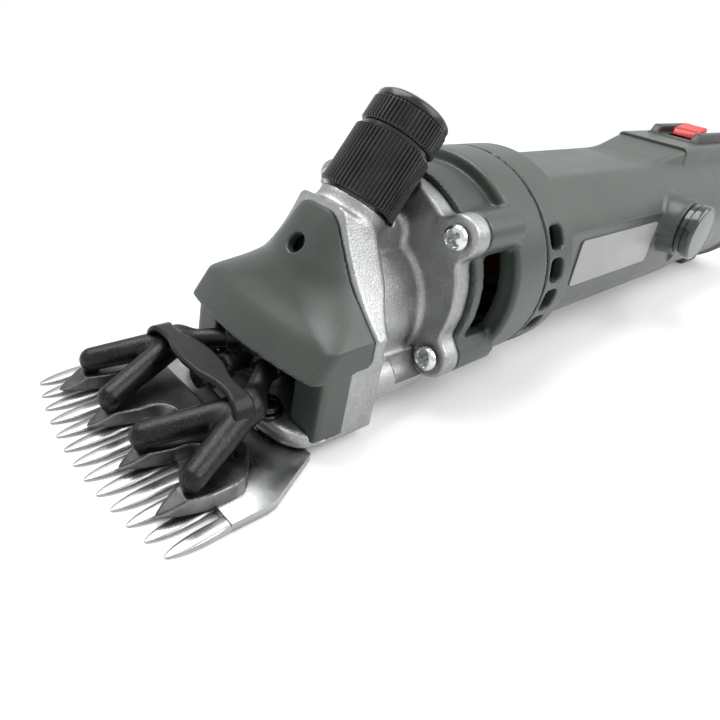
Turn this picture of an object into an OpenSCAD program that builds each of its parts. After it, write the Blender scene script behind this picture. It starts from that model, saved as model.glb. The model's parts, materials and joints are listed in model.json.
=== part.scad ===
// Mains-powered sheep shears: comb and cutter, oscillating fork, cast head, gear train,
// motor barrel and rear handle. Millimetres, +Z up, the comb points along -X.

/* [Comb] */
// Width across the outer comb teeth
comb_w = 76.2; // [60:0.1:92]
// Length of a comb tooth from tip to root
tooth_l = 20; // [17:0.5:24]
// Length of the comb plate behind the tooth roots
comb_body_l = 31; // [28:0.5:36]
// Thickness of the comb plate
comb_t = 2.6; // [2:0.1:3.2]
// Radius of the arc through the tooth tips
tip_arc_r = 131.7; // [110:0.1:160]
// Gap between two comb teeth at the root
tooth_gap = 2.6; // [2:0.1:3]

/* [Cutter] */
// Thickness of the cutter plate
cutter_t = 3.8; // [3:0.1:4.6]
// Set-back of the cutter tips behind the comb tips
cutter_back = 7; // [5:0.5:9]
// Front to rear length of the cutter
cutter_l = 29; // [26:0.5:32]
// Running gap between comb and cutter
cutter_gap = 0.08; // [0.05:0.01:0.2]

/* [Fork] */
// Distance from the comb tips to the fork pivot
pivot_x = 60; // [57:0.5:64]
// Distance from the pivot to the crank roller centre
fork_rear_l = 20; // [18:0.5:22]
// Greatest swing of the fork to either side, degrees
fork_swing = 9.6; // [6:0.1:9.6]
// Radius of the fork arms
fork_arm_r = 4.4; // [3.8:0.1:4.8]
// Radius of the foot shanks
shank_r = 3; // [2.4:0.1:3.2]
// Radius of the foot bars
foot_r = 3.6; // [3:0.1:4]
// Radius of the fork pivot post
post_r = 4; // [3.4:0.1:4.6]

/* [Crank and gears] */
// Gear module
gear_m = 0.9; // [0.8:0.05:1]
// Teeth on the motor pinion
pinion_teeth = 8; // [8:1:8]
// Teeth on the crank gear
gear_teeth = 32; // [30:1:34]
// Width of the crank gear
gear_w = 5.4; // [4.5:0.1:5.6]
// Radius of the crank roller
roller_r = 2.8; // [2.4:0.1:3]
// Length of the crank roller
roller_l = 6; // [4.5:0.1:6]
// Radius of the crankshaft
crank_r = 4.5; // [4:0.1:5]

/* [Head] */
// Half width of the head at its shoulders
head_hw = 29.4; // [27:0.1:33]
// Wall of the head casting
cast_wall = 3; // [2.5:0.1:3.5]
// Wall of the front cover
cover_wall = 2.6; // [2:0.1:3]
// Half width of the mouth between the cover legs
mouth_hw = 18.5; // [18:0.1:21]
// Height of the head top above the motor axis
head_top = 25.3; // [22:0.1:30]
// Radius of the oil hole in the cover
oil_r = 3; // [2:0.1:3.5]
// Radius of the gearbox flange
flange_r = 31; // [29.5:0.1:33]
// Sideways distance of a flange screw from the motor axis
screw_y = 26.8; // [25:0.1:28.5]
// Height of the upper flange screws
screw_up = 20.3; // [18:0.1:22]
// Depth of the lower flange screws
screw_down = 18.8; // [17:0.1:21]

/* [Tension] */
// Backward lean of the tension axis, degrees
lean = 33.9; // [28:0.1:38]
// Radius of the knurled tension nut
nut_r = 12.3; // [11.4:0.1:13.5]
// Length of the knurled sleeve of the nut
nut_l = 19.7; // [16:0.1:23]
// Length of the lock cap
cap_l = 11; // [9:0.1:13]
// Radius of the tension pin
pin_r = 3; // [2.6:0.1:3.4]
// Number of knurl grooves round the nut
knurls = 60; // [40:1:80]

/* [Motor housing] */
// Distance from the motor axis to the lowest point of the ring
ring_r = 36.9; // [34:0.1:44]
// Front of the ring, from the comb tips
ring_x = 118.8; // [116:0.1:124]
// Length of the ring
ring_l = 34.6; // [30:0.1:42]
// Outer radius of the barrel
barrel_r = 33; // [32:0.1:34]
// Length of the barrel behind the ring
barrel_l = 124.6; // [120:0.1:150]
// Wall of the barrel
house_wall = 4.4; // [4:0.1:4.8]
// Wall of the flat top of the barrel
top_wall = 2.6; // [2.2:0.1:3.2]
// Wall of the nose and of the ring
nose_wall = 2.6; // [2:0.1:3.2]
// Height of the flat top of the barrel above the motor axis
flat_z = 29.6; // [28:0.1:31]
// Vents on each side of the ring
vents = 5; // [3:1:5]
// Side of a vent
vent_w = 8; // [6:0.1:9]

/* [Motor] */
// Radius of the motor shaft
shaft_r = 4; // [3.5:0.1:4.5]
// Radius of the armature core
core_r = 17.4; // [16:0.1:18]
// Length of the laminated core
core_l = 46; // [38:1:48]
// Air gap between armature and stator
air_gap = 0.6; // [0.4:0.1:0.9]
// Radius of the commutator
comm_r = 11; // [10:0.1:12]
// Number of fan blades
fan_blades = 11; // [7:1:15]

/* [Rear handle] */
// Length of the rear handle
handle_l = 98; // [90:0.5:120]
// Outer radius of the rear handle
handle_r = 32; // [31:0.1:32.6]
// Rise of the switch deck above the motor axis
deck_z = 36.6; // [34:0.1:39]
// Half width of the switch deck
deck_hw = 17; // [15:0.1:20]
// Length of the cord gland behind the handle
gland_l = 8; // [6:0.5:14]
// Radius of the cord bore
cord_r = 3.75; // [3:0.05:4.5]

/* [Controls] */
// Distance of the slide button's front from the handle seam
button_x = 37.6; // [34:0.1:42]
// Length of the slide button
button_l = 14; // [11:0.1:16]
// Width of the slide button
button_w = 12; // [9:0.1:14]
// Travel of the slide button
button_travel = 8; // [5:0.1:9]
// Radius of the speed dial
dial_r = 12; // [10:0.1:13]
// Sideways distance of the dial's face from the motor axis
dial_face = 44; // [42:0.1:48]
// Length of the label plate
label_l = 67; // [50:0.5:67.5]

/* [Fits] */
// Radial clearance of a pressed or screwed seat
seat = 0.01; // [0.01:0.01:0.03]
// Radial running clearance of shafts and pivots
run = 0.04; // [0.02:0.01:0.08]
// Gap between sliding or turning pieces of two bodies
slack = 0.3; // [0.2:0.05:0.4]
// Radial clearance round a screw shank
screw_gap = 0.3; // [0.1:0.05:0.4]

/* [Hidden] */
$fn = 64;

// Comb and cutter
comb_teeth = 13;
pitch = comb_w / (comb_teeth - 0.4);
rest_z = -ring_r;
comb_top = rest_z + comb_t;
comb_rear = tooth_l + comb_body_l;
comb_screw_x = comb_rear - 4.2;
comb_screw_y = 13;
comb_screw_r = 2.4;
cutter_z = comb_top + cutter_gap;
cutter_top = cutter_z + cutter_t;
foot_z = cutter_top + foot_r + 0.05;

// Head
base_z = comb_top;
base_t = 5.3;
floor_z = base_z + base_t;
head_x = comb_rear - 8;
lip_z = -4.6;
lip_h = 8.2;
lip_low = lip_z - lip_h;
cover_front = head_x + 0.6;
lip_lean = 32.5;
seam_x = pivot_x + 7.3;
casting_rear = seam_x + 5;
leg_front = comb_rear - 0.5;
leg_l = 10;
leg_low = floor_z - 2.2;
cavity_hw = 18.2;

// Gears: the crank axis lies below the motor axis by the centre distance
gear_c = gear_m * (gear_teeth + pinion_teeth) / 2;
crank_z = -gear_c;
gear_add = 0.5 * gear_m;
gear_tip = gear_m * gear_teeth / 2 + gear_add;
throw = fork_rear_l * tan(fork_swing);
roller_x = pivot_x + fork_rear_l;
slot_hw = 2 * throw + roller_r + 0.4;
fork_arm_t = 3;
fork_end = roller_x + 2;
disc_x = fork_end + 2.6;
disc_t = 3.4;
bearing_x = disc_x + disc_t + 1.4;
bearing_w = 6.4;
bearing_r = 10.5;
flange_x = bearing_x + bearing_w + 0.2;
flange_t = 7;
plate_x = flange_x + flange_t;
gear_x = flange_x + 0.9;
plate_t = 3;
hub_l = 6.6;

// Fork
fork_low = crank_z - throw - roller_r - 0.2;
fork_high = crank_z + 6;
hub_r = 8.5;
hub_top = -9.5;
foot_apex = [pivot_x - 23, 18, foot_z + 5.5];
pivot_eye = [pivot_x, 0, -16];
shank_dir = pivot_eye - foot_apex;
shank_len = norm(shank_dir);

// Tension axis: it runs through the pin's ball end, which seats in the fork's cup
ball_z = hub_top + 1;
nut_rise = (23 - ball_z) / cos(lean);
boss_r = nut_r - 1.5;
sleeve_r = 8;
sleeve_bore = 4.2;

// Motor housing
ring_end = ring_x + ring_l;
barrel_end = ring_end + barrel_l;
barrel_in = barrel_r - house_wall;
flat_in = flat_z - top_wall;
nose_r = barrel_r - 0.4;
nose_in = nose_r - nose_wall;
nose_x = plate_x;
stator_x = ring_end + 7;
bulk_x = stator_x + core_l + 24;
rear_bearing_x = bulk_x + 1.5;
rear_bearing_r = 9.5;
panel_y = -(barrel_r - 3.1);
dial_x = barrel_end - 29;
dial_z = 8;
dial_rim = 6.4;
dial_y = -(dial_face - dial_rim);
boss_y = dial_y + slack;

// Handle
handle_end = barrel_end + handle_l;
handle_in = handle_r - house_wall;
total_l = handle_end + gland_l;
foot_pad_l = 24;
frame_l = 54;
frame_x = barrel_end + button_x - 16;
slide_x = barrel_end + button_x;
frame_z = deck_z - 1;
handle_screw_y = 23;
handle_screw_z = -14;

// The object's own frame: bounding box centre in plan, comb underside at z = 0
shift = [-total_l / 2, (dial_face - comb_w / 2) / 2, ring_r];
module place() { translate(shift) children(); }

// Solid round bar between two points
module bar(p, q, r) {
    d = q - p;
    translate(p) rotate([0, acos(d[2] / norm(d)), atan2(d[1], d[0])]) cylinder(h = norm(d), r = r);
}
// Cylinder along +X from x, about the line at height z
module xcyl(x, l, r, z = 0, y = 0) { translate([x, y, z]) rotate([0, 90, 0]) cylinder(h = l, r = r); }
// Tube along +X
module xtube(x, l, r, bore, z = 0) {
    difference() {
        xcyl(x, l, r, z);
        xcyl(x - 1, l + 2, bore, z);
    }
}
// Box from low corner to high corner
module box(a, b) { translate(a) cube(b - a); }
// Moves the child to both sides of the tool
module both_sides() {
    children();
    mirror([0, 1, 0]) children();
}
// Local frame of the leaning tension axis, with its origin at the nut's lower end
module on_tension_axis() {
    translate([pivot_x, 0, ball_z]) rotate([0, lean, 0]) translate([0, 0, nut_rise]) children();
}
// Extrudes a side profile given in X and Z across the tool
module side_profile(hw) { rotate([90, 0, 0]) translate([0, 0, -hw]) linear_extrude(2 * hw) children(); }
// Extrudes a profile given in Y and Z along +X
module cross_profile(x, l) {
    translate([x, 0, 0]) rotate([90, 0, 90]) linear_extrude(l) children();
}

// Comb
function tip_x(y) = tip_arc_r - sqrt(tip_arc_r * tip_arc_r - y * y);
function tooth_y(i) = (i - (comb_teeth - 1) / 2) * pitch;

module comb_plan() {
    hw = (pitch - tooth_gap) / 2;
    for (i = [0 : comb_teeth - 1]) {
        y = tooth_y(i);
        polygon([[tip_x(y), y - 0.5], [tip_x(y) + 7, y - hw * 0.82], [tooth_l + 1, y - hw],
            [tooth_l + 1, y + hw], [tip_x(y) + 7, y + hw * 0.82], [tip_x(y), y + 0.5]]);
    }
    e = comb_w / 2;
    polygon([[tooth_l, -e], [tooth_l + 11, -e], [tooth_l + 15, -e + 1.6], [comb_rear, -head_hw + 0.6],
        [comb_rear, head_hw - 0.6], [tooth_l + 15, e - 1.6], [tooth_l + 11, e], [tooth_l, e]]);
}

module comb() {
    color("lightgray") place() difference() {
        intersection() {
            translate([0, 0, rest_z]) linear_extrude(comb_t) comb_plan();
            side_profile(comb_w) polygon([[-1, rest_z], [comb_rear + 1, rest_z], [comb_rear + 1, comb_top],
                [tooth_l, comb_top], [0, rest_z + 0.8], [-1, rest_z + 0.8]]);
        }
        both_sides() {
            translate([comb_screw_x, comb_screw_y, rest_z - 1]) cylinder(h = comb_t + 2, r = comb_screw_r + screw_gap);
            box([comb_screw_x, comb_screw_y - comb_screw_r - screw_gap, rest_z - 1],
                [comb_rear + 1, comb_screw_y + comb_screw_r + screw_gap, comb_top + 1]);
        }
    }
}

module comb_screw(side) {
    color("dimgray") place() translate([comb_screw_x, side * comb_screw_y, 0]) difference() {
        union() {
            translate([0, 0, rest_z + 0.4]) cylinder(h = floor_z - rest_z, r = comb_screw_r);
            translate([0, 0, floor_z]) cylinder(h = 1, r = 5);
            translate([0, 0, floor_z + 1]) cylinder(h = 2.4, r = 4.2);
        }
        translate([-4.5, -0.5, floor_z + 2.4]) cube([9, 1, 2]);
    }
}
module comb_screw_left() { comb_screw(-1); }
module comb_screw_right() { comb_screw(1); }

// Cutter with one tooth for every three comb pitches
module cutter_plan() {
    rear = cutter_back + cutter_l;
    span = 1.5 * 3 * pitch;
    for (k = [-1.5 : 1 : 1.5]) {
        y = k * 3 * pitch;
        polygon([[cutter_back, y - 0.7], [cutter_back + 13, y - 4.2], [cutter_back + 19, y - 7],
            [cutter_back + 19, y + 7], [cutter_back + 13, y + 4.2], [cutter_back, y + 0.7]]);
    }
    polygon([[cutter_back + 16, -span - 4], [cutter_back + 23, -span - 3], [rear, -22], [rear, 22],
        [cutter_back + 23, span + 3], [cutter_back + 16, span + 4]]);
}

module cutter() {
    color("gray") place() difference() {
        intersection() {
            translate([0, 0, cutter_z]) linear_extrude(cutter_t) cutter_plan();
            side_profile(comb_w) polygon([[cutter_back - 1, cutter_z], [comb_rear, cutter_z],
                [comb_rear, cutter_top], [cutter_back + 4, cutter_top], [cutter_back, cutter_z + 1.6],
                [cutter_back - 1, cutter_z + 1.6]]);
        }
        for (k = [-1 : 1]) translate([cutter_back + 14, k * 3 * pitch, cutter_z - 1]) cylinder(h = cutter_t + 2, r = 5.2);
        both_sides() translate([cutter_back + 22.7, 21.5, cutter_z - 1]) cylinder(h = cutter_t + 2, r = 2.2);
    }
}

// Chicken feet: each has two round bars that press on the cutter and a shank in the fork
module foot() {
    a = foot_apex;
    s = shank_dir / shank_len;
    outer = [cutter_back + 9, 27.4, foot_z];
    inner = [cutter_back + 6, 8.8, foot_z];
    union() {
        bar(a, outer, foot_r);
        bar(a, inner, foot_r);
        translate([outer[0], outer[1], cutter_top + 0.05]) cylinder(h = foot_r + 1.5, r = foot_r - 0.7);
        translate([inner[0], inner[1], cutter_top + 0.05]) cylinder(h = foot_r + 1.5, r = foot_r - 0.7);
        translate([a[0], a[1], a[2] - foot_r - 0.5]) cylinder(h = 2 * foot_r + 1, r = foot_r + 1.2);
        bar(a, a + s * (shank_len - 10.5), shank_r);
    }
}
module foot_left() { color("darkslategray") place() mirror([0, 1, 0]) foot(); }
module foot_right() { color("darkslategray") place() foot(); }

// Retaining clip: bow-shaped spring strip that lies on both feet and hooks down in front of them
clip_z = foot_apex[2] + foot_r + 0.65;
clip_x = foot_apex[0] - 4;
clip_t = 1.8;
clip_tab = 7.6;
clip_screw_z = clip_z - 4.2;
module retaining_clip() {
    tip = foot_apex[1] + 2.4;
    color("black") place() difference() {
        union() {
            translate([0, 0, clip_z]) linear_extrude(clip_t)
                polygon([[clip_x - 5, 0], [clip_x - 3.5, 6], [clip_x - 1.6, 12], [clip_x - 2.4, tip],
                    [clip_x + 3, tip], [clip_x + 2.6, 12], [clip_x + 3.6, 6], [clip_x + 3.6, -6],
                    [clip_x + 2.6, -12], [clip_x + 3, -tip], [clip_x - 2.4, -tip], [clip_x - 1.6, -12],
                    [clip_x - 3.5, -6]]);
            both_sides() translate([clip_x - 2.4, tip, clip_z + 1.7]) rotate([0, 90, 0]) cylinder(h = 5.4, r = 1.6);
            box([clip_x + 1.8, -4, clip_z - clip_tab], [clip_x + 3.6, 4, clip_z + clip_t]);
        }
        xcyl(clip_x, 6, 2.2 + run, clip_screw_z);
    }
}

// Clip screw: grooved collar and shank that run back into the fork's front boss
module clip_screw() {
    z = clip_screw_z;
    x = clip_x + 3.6;
    color("silver") place() union() {
        xcyl(x - 4, 2.2, 3.6, z);
        xcyl(x - 1.8, pivot_x - hub_r + 1.2 - x + 1.8, 2.2, z);
        xcyl(x, 2, 3.8, z);
        xcyl(x + 3.6, 2, 3.8, z);
    }
}

// Fork: hub on the pivot post, two hollow arms for the feet, rear yoke for the crank roller
module fork() {
    s = shank_dir / shank_len;
    z = clip_screw_z;
    color("dimgray") place() difference() {
        union() {
            translate([pivot_x, 0, fork_low]) cylinder(h = hub_top - fork_low, r = hub_r);
            both_sides() bar(pivot_eye - s * 15.5, pivot_eye, fork_arm_r);
            xcyl(pivot_x - hub_r - 3, 4.4, 4.6, z);
            box([pivot_x, -slot_hw - fork_arm_t, fork_low], [pivot_x + 11, slot_hw + fork_arm_t, fork_high]);
            both_sides() box([pivot_x + 10, slot_hw, fork_low], [fork_end, slot_hw + fork_arm_t, fork_high]);
        }
        translate([pivot_x, 0, fork_low - 1]) cylinder(h = 7.4, r = post_r + run);
        translate([pivot_x, 0, ball_z]) sphere(r = pin_r + slack);
        both_sides() bar(pivot_eye - s * 16.5, pivot_eye - s * 9.8, shank_r + run);
        xcyl(pivot_x - hub_r - 4, 5.4, 2.2 + run, z);
    }
}

// Pivot post: stands on the head floor and carries the fork hub
module pivot_post() {
    color("silver") place() translate([pivot_x, 0, 0]) union() {
        translate([0, 0, floor_z - 3]) cylinder(h = 3.2, r = post_r);
        translate([0, 0, floor_z]) cylinder(h = fork_low - floor_z - slack, r = post_r + 2.6);
        translate([0, 0, floor_z]) cylinder(h = fork_low + 6 - floor_z, r = post_r);
    }
}

// Bell outline of the head in Y and Z, drawn in by d
module bell(d) {
    w = head_hw - d;
    polygon([[-w, lip_low], [-w, lip_z], [-w * 0.665 + d * 0.2, 5], [-w * 0.44 + d * 0.2, 15.5],
        [-w * 0.27, head_top - 1.2 - d], [-w * 0.2, head_top - d], [w * 0.2, head_top - d],
        [w * 0.27, head_top - 1.2 - d], [w * 0.44 - d * 0.2, 15.5], [w * 0.665 - d * 0.2, 5], [w, lip_z], [w, lip_low]]);
}
// Front cover: its brow is a slice of a leaning drum, the face above it runs up to the head top
module cover_solid(d, low) {
    bow_r = 122;
    f = cover_front + d;
    intersection() {
        cross_profile(cover_front - 6, seam_x - cover_front + 6) bell(d);
        side_profile(head_hw + 1) polygon([[f, low], [f + lip_h * tan(lip_lean), lip_z],
            [f + 9, 2], [f + 12.2, 8], [f + 15, 14], [f + 17.2, 19.5], [f + 19, head_top - d], [seam_x + 1, head_top - d],
            [seam_x + 1, low]]);
        translate([f, 0, lip_low]) rotate([0, lip_lean, 0]) translate([bow_r, 0, -80])
            cylinder(h = 200, r = bow_r, $fn = 128);
    }
}
module front_cover() {
    color("darkslategray") place() difference() {
        union() {
            difference() {
                cover_solid(0, lip_low);
                translate([0, 0, -0.01]) cover_solid(cover_wall, lip_low);
            }
            both_sides() box([leg_front, mouth_hw, leg_low], [leg_front + leg_l, head_hw, lip_low + 0.6]);
        }
        translate([cover_front + 15, 0, 14]) rotate([0, -66, 0]) cylinder(h = 20, r = oil_r, center = true);
        box([cover_front, -mouth_hw + 1, lip_low - 1], [seam_x + 1, mouth_hw - 1, lip_low]);
    }
}

// Head casting: floor that carries the comb, side walls, bell, leaning boss, dome and flange
module head_outer() {
    union() {
        box([head_x + 2, -head_hw + 1, base_z], [casting_rear, head_hw - 1, floor_z]);
        casting_front_lip();
        both_sides() box([leg_front + leg_l + 0.05, head_hw - cast_wall, floor_z - 1], [casting_rear, head_hw, lip_low - 0.05]);
        cross_profile(seam_x + 0.05, casting_rear - seam_x) bell(0);
        box([casting_rear - 1, -cavity_hw - cast_wall, base_z + 1], [bearing_x + 1, cavity_hw + cast_wall, -4]);
        xcyl(casting_rear - 1, flange_x - casting_rear + 1, cavity_hw + cast_wall + 1.6, -8);
        both_sides() xcyl(casting_rear - 2, flange_x - casting_rear, 6.5, -23.5, 21.2);
        both_sides() xcyl(casting_rear, flange_x - casting_rear, 5, 12, 14);
        box([casting_rear - 1, -10, 0], [casting_rear + 14, 10, 20]);
        intersection() {
            on_tension_axis() translate([0, 0, -22]) cylinder(h = 21.4, r = boss_r);
            box([seam_x + 0.05, -20, -20], [plate_x, 20, 60]);
        }
        flange();
    }
}
// Rounded front lip of the casting's floor
module casting_front_lip() {
    translate([head_x + 2, head_hw - 1, base_z + 2.65]) rotate([90, 0, 0]) cylinder(h = 2 * head_hw - 2, r = 2.65);
}
// Flange with four screw lugs
module flange() {
    intersection() {
        xcyl(flange_x, flange_t, flange_r);
        box([flange_x - 1, -flange_r, rest_z + 3], [plate_x + 1, flange_r, flange_r]);
    }
    both_sides() {
        xcyl(flange_x, flange_t, 6.5, screw_up, screw_y);
        xcyl(flange_x, flange_t, 6.5, -screw_down, screw_y);
        box([flange_x, 10, screw_up - 12], [plate_x, screw_y, screw_up + 6.5]);
        box([flange_x, 10, -screw_down - 6.5], [plate_x, screw_y, -screw_down + 9]);
    }
}
module head_casting() {
    color("silver") place() difference() {
        head_outer();
        // Fork chamber, open to the front
        box([head_x - 3, -mouth_hw - 1, floor_z], [seam_x + 1, mouth_hw + 1, lip_z]);
        box([pivot_x - 9, -cavity_hw, floor_z], [disc_x + disc_t + 0.6, cavity_hw, -5]);
        box([seam_x - 6, -12, -6], [casting_rear, 12, 6]);
        // Crank bearing seat and gear chamber
        xcyl(bearing_x - 3, 20, bearing_r - 1.6, crank_z);
        xcyl(bearing_x, bearing_w + 0.05, bearing_r, crank_z);
        xcyl(flange_x + 0.4, flange_t + 1, gear_tip + 0.8, crank_z);
        xcyl(flange_x + 0.4, flange_t + 1, gear_m * pinion_teeth / 2 + 1.6);
        // Tension sleeve thread and pin way
        on_tension_axis() translate([0, 0, -14]) cylinder(h = 20, r = sleeve_r + seat);
        on_tension_axis() translate([0, 0, -nut_rise]) cylinder(h = nut_rise, r = pin_r + 0.5);
        // Screws
        both_sides() translate([comb_screw_x, comb_screw_y, base_z - 1]) cylinder(h = base_t + 2, r = comb_screw_r + 0.02);
        translate([pivot_x, 0, floor_z - 3]) cylinder(h = 6, r = post_r);
        both_sides() {
            xcyl(flange_x - 1, flange_t + 2, 2 + screw_gap, screw_up, screw_y);
            xcyl(flange_x - 1, flange_t + 2, 2 + screw_gap, -screw_down, screw_y);
            xcyl(flange_x - 14, 14, 4.6, -screw_down, screw_y);
        }
        // Seats of the cover legs, room for the tension nut, and everything below the comb plane
        both_sides() box([leg_front - 0.05, mouth_hw - 0.05, leg_low - 0.05], [leg_front + leg_l + 0.05, head_hw + 1, floor_z + 1]);
        on_tension_axis() translate([0, 0, -slack]) cylinder(h = 60, r = nut_r + 0.8);
        box([head_x - 10, -60, rest_z - 20], [plate_x + 1, 60, rest_z + 0.4]);
    }
}

// Tension sleeve, pin, nut and lock cap, all on the leaning axis
module tension_sleeve() {
    color("gray") place() on_tension_axis() difference() {
        translate([0, 0, -14]) cylinder(h = 14 + nut_l + 4, r = sleeve_r);
        translate([0, 0, -15]) cylinder(h = 40 + nut_l, r = sleeve_bore);
    }
}
module tension_pin() {
    color("silver") place() on_tension_axis() union() {
        translate([0, 0, -nut_rise]) sphere(r = pin_r);
        translate([0, 0, -nut_rise]) cylinder(h = nut_rise + nut_l - 3.5, r = pin_r);
        translate([0, 0, -12]) cylinder(h = nut_l + 8, r = sleeve_bore - run);
    }
}
// Knurled outline: a round with evenly spaced V grooves
module knurled(r, h, n, depth) {
    linear_extrude(h) difference() {
        circle(r = r, $fn = 96);
        for (i = [0 : n - 1]) rotate(i * 360 / n) translate([r + 0.35, 0]) rotate(45) square(depth * 2, center = true);
    }
}
module tension_nut() {
    color("black") place() on_tension_axis() difference() {
        union() {
            knurled(nut_r, nut_l, knurls, 0.55);
            translate([0, 0, nut_l]) cylinder(h = 1.3, r = nut_r - 1.4);
        }
        translate([0, 0, -1]) cylinder(h = nut_l + 4, r = sleeve_r + run);
    }
}
module lock_cap() {
    color("black") place() on_tension_axis() translate([0, 0, nut_l + 1.3 + slack]) difference() {
        union() {
            knurled(nut_r - 0.2, cap_l - 3.2, knurls, 0.55);
            translate([0, 0, cap_l - 3.2]) cylinder(h = 1.4, r = nut_r - 0.6);
            translate([0, 0, cap_l - 1.8]) cylinder(h = 1.8, r1 = nut_r - 0.6, r2 = nut_r - 2.2);
        }
        translate([0, 0, -1]) cylinder(h = cap_l - 1.5, r = sleeve_r + run);
    }
}

// Crank: disc with an offset pin that carries the roller, and the shaft
module crankshaft() {
    pin = crank_z + throw;
    color("silver") place() union() {
        xcyl(disc_x, disc_t, throw + roller_r + 1.8, crank_z);
        xcyl(roller_x - roller_l / 2, disc_x - roller_x + roller_l / 2 + 1, roller_r / 2, pin);
        xcyl(disc_x + disc_t, plate_x + hub_l - disc_x - disc_t, crank_r, crank_z);
        xcyl(disc_x + disc_t, bearing_x - disc_x - disc_t, crank_r + 1.2, crank_z);
    }
}
module crank_roller() {
    color("gray") place() translate([roller_x, 0, crank_z + throw]) rotate([0, 90, 0]) difference() {
        intersection() {
            cylinder(h = roller_l - 0.4, r = roller_r, center = true);
            sphere(r = roller_r + 0.55);
        }
        cylinder(h = roller_l + 1, r = roller_r / 2 + run, center = true);
    }
}

// Involute tooth outline: half-angle of the tooth at radius r, for n teeth
function inv(a) = tan(a) * 180 / PI - a;
function base_r(n) = gear_m * n / 2 * cos(20);
function half_at(n, r, lash) = 90 / n - lash + inv(20) - inv(acos(min(1, base_r(n) / max(r, base_r(n)))));
module gear_outline(n, tip, root, lash) {
    radii = [for (k = [0 : 4]) max(root, base_r(n)) + (tip - max(root, base_r(n))) * k / 4];
    pts = [for (i = [0 : n - 1]) let(c = i * 360 / n) each concat(
        [[root * cos(c - half_at(n, root, lash)), root * sin(c - half_at(n, root, lash))]],
        [for (r = radii) [r * cos(c - half_at(n, r, lash)), r * sin(c - half_at(n, r, lash))]],
        [for (k = [4 : -1 : 0]) let(r = radii[k]) [r * cos(c + half_at(n, r, lash)), r * sin(c + half_at(n, r, lash))]],
        [[root * cos(c + half_at(n, root, lash)), root * sin(c + half_at(n, root, lash))]])];
    polygon(pts);
}
module crank_gear() {
    root = gear_m * gear_teeth / 2 - 1.1 * gear_m;
    color("darkgray") place() translate([gear_x, 0, crank_z]) rotate([90, 0, 90]) rotate(90 + 180 / gear_teeth) difference() {
        linear_extrude(gear_w) difference() {
            gear_outline(gear_teeth, gear_tip, root, 0.45);
            for (i = [0 : 5]) rotate(i * 60 + 30) translate([9, 0]) circle(r = 2.2);
        }
        translate([0, 0, -1]) cylinder(h = gear_w + 2, r = crank_r + seat);
    }
}
module pinion() {
    root = gear_m * pinion_teeth / 2 - 1.0 * gear_m;
    color("silver") place() translate([gear_x, 0, 0]) rotate([90, 0, 90]) rotate(90) difference() {
        linear_extrude(plate_x + 1 - gear_x) gear_outline(pinion_teeth, gear_m * pinion_teeth / 2 + gear_add, root, 1.4);
        translate([0, 0, 2]) cylinder(h = 20, r = 1.5);
    }
}
module crank_bearing() {
    color("silver") place() difference() {
        xtube(bearing_x, bearing_w, bearing_r - 0.01, crank_r + 0.02, crank_z);
        for (s = [-1, 1]) difference() {
            xcyl(bearing_x + bearing_w / 2 + s * (bearing_w / 2) - 0.6, 1.2, 8.6, crank_z);
            xcyl(bearing_x - 1, bearing_w + 2, 6.6, crank_z);
        }
    }
}
module crank_bush() {
    color("goldenrod") place() xtube(plate_x + 0.6, hub_l - 0.6, 6, crank_r + run, crank_z);
}

// Gear plate: closes the gear chamber and holds the front motor bearing and the crank bush
module gear_plate() {
    color("black") place() difference() {
        union() {
            xcyl(plate_x, plate_t, nose_in - 0.5);
            xcyl(plate_x, hub_l, 11);
            xcyl(plate_x, hub_l, 9, crank_z);
        }
        xcyl(plate_x + 1.2, hub_l, 8.01);
        xcyl(plate_x - 1, 20, shaft_r + 1.2);
        xcyl(plate_x + 0.6, hub_l, 6.01, crank_z);
        xcyl(plate_x - 1, 20, crank_r + 0.6, crank_z);
        both_sides() {
            xcyl(plate_x - 1, 20, 2 + screw_gap + 0.4, screw_up, screw_y);
            xcyl(plate_x - 1, 20, 7.4, screw_up, screw_y + 1);
            xcyl(plate_x - 1, 20, 7.4, -screw_down, screw_y + 1);
        }
    }
}
module front_bearing() { color("silver") place() xtube(plate_x + 1.25, hub_l - 1.4, 8, shaft_r + 0.02); }
module rear_bearing() { color("silver") place() xtube(rear_bearing_x, 6, rear_bearing_r - 0.01, shaft_r + 0.02); }

// Armature: shaft, laminated core, winding heads, commutator and fan turn together
module motor_shaft() {
    color("silver") place() union() {
        xcyl(gear_x + 2.2, plate_x + 1 - gear_x, 1.5);
        xcyl(plate_x + 1.02, rear_bearing_x + 6.5 - plate_x - 1.02, shaft_r);
    }
}
module armature_core() {
    color("slategray") place() difference() {
        xcyl(stator_x + 1, core_l - 2, core_r);
        for (i = [0 : 11]) rotate([i * 30, 0, 0])
            translate([stator_x, -1, core_r - 3]) cube([core_l, 2, 6]);
        xcyl(stator_x, core_l, shaft_r);
    }
}
module armature_winding() {
    color("chocolate") place() {
        xtube(stator_x - 7, 8, core_r - 3.4, shaft_r);
        xtube(stator_x + core_l - 1, 8, core_r - 3.4, shaft_r);
    }
}
module commutator() {
    color("peru") place() difference() {
        xtube(stator_x + core_l + 8, 12, comm_r, shaft_r);
        for (i = [0 : 23]) rotate([i * 15, 0, 0])
            translate([stator_x + core_l + 9, -0.3, comm_r - 1]) cube([12, 0.6, 3]);
    }
}
module fan() {
    color("dimgray") place() difference() {
        union() {
            xcyl(plate_x + hub_l + 1.2, 2, nose_in - 4);
            xcyl(plate_x + hub_l + 1.2, 9, 8);
            for (i = [0 : fan_blades - 1]) rotate([i * 360 / fan_blades, 0, 0])
                translate([plate_x + hub_l + 2.4, -0.8, 7]) cube([7.6, 1.6, nose_in - 12]);
        }
        xcyl(plate_x, 40, shaft_r);
    }
}
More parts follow.
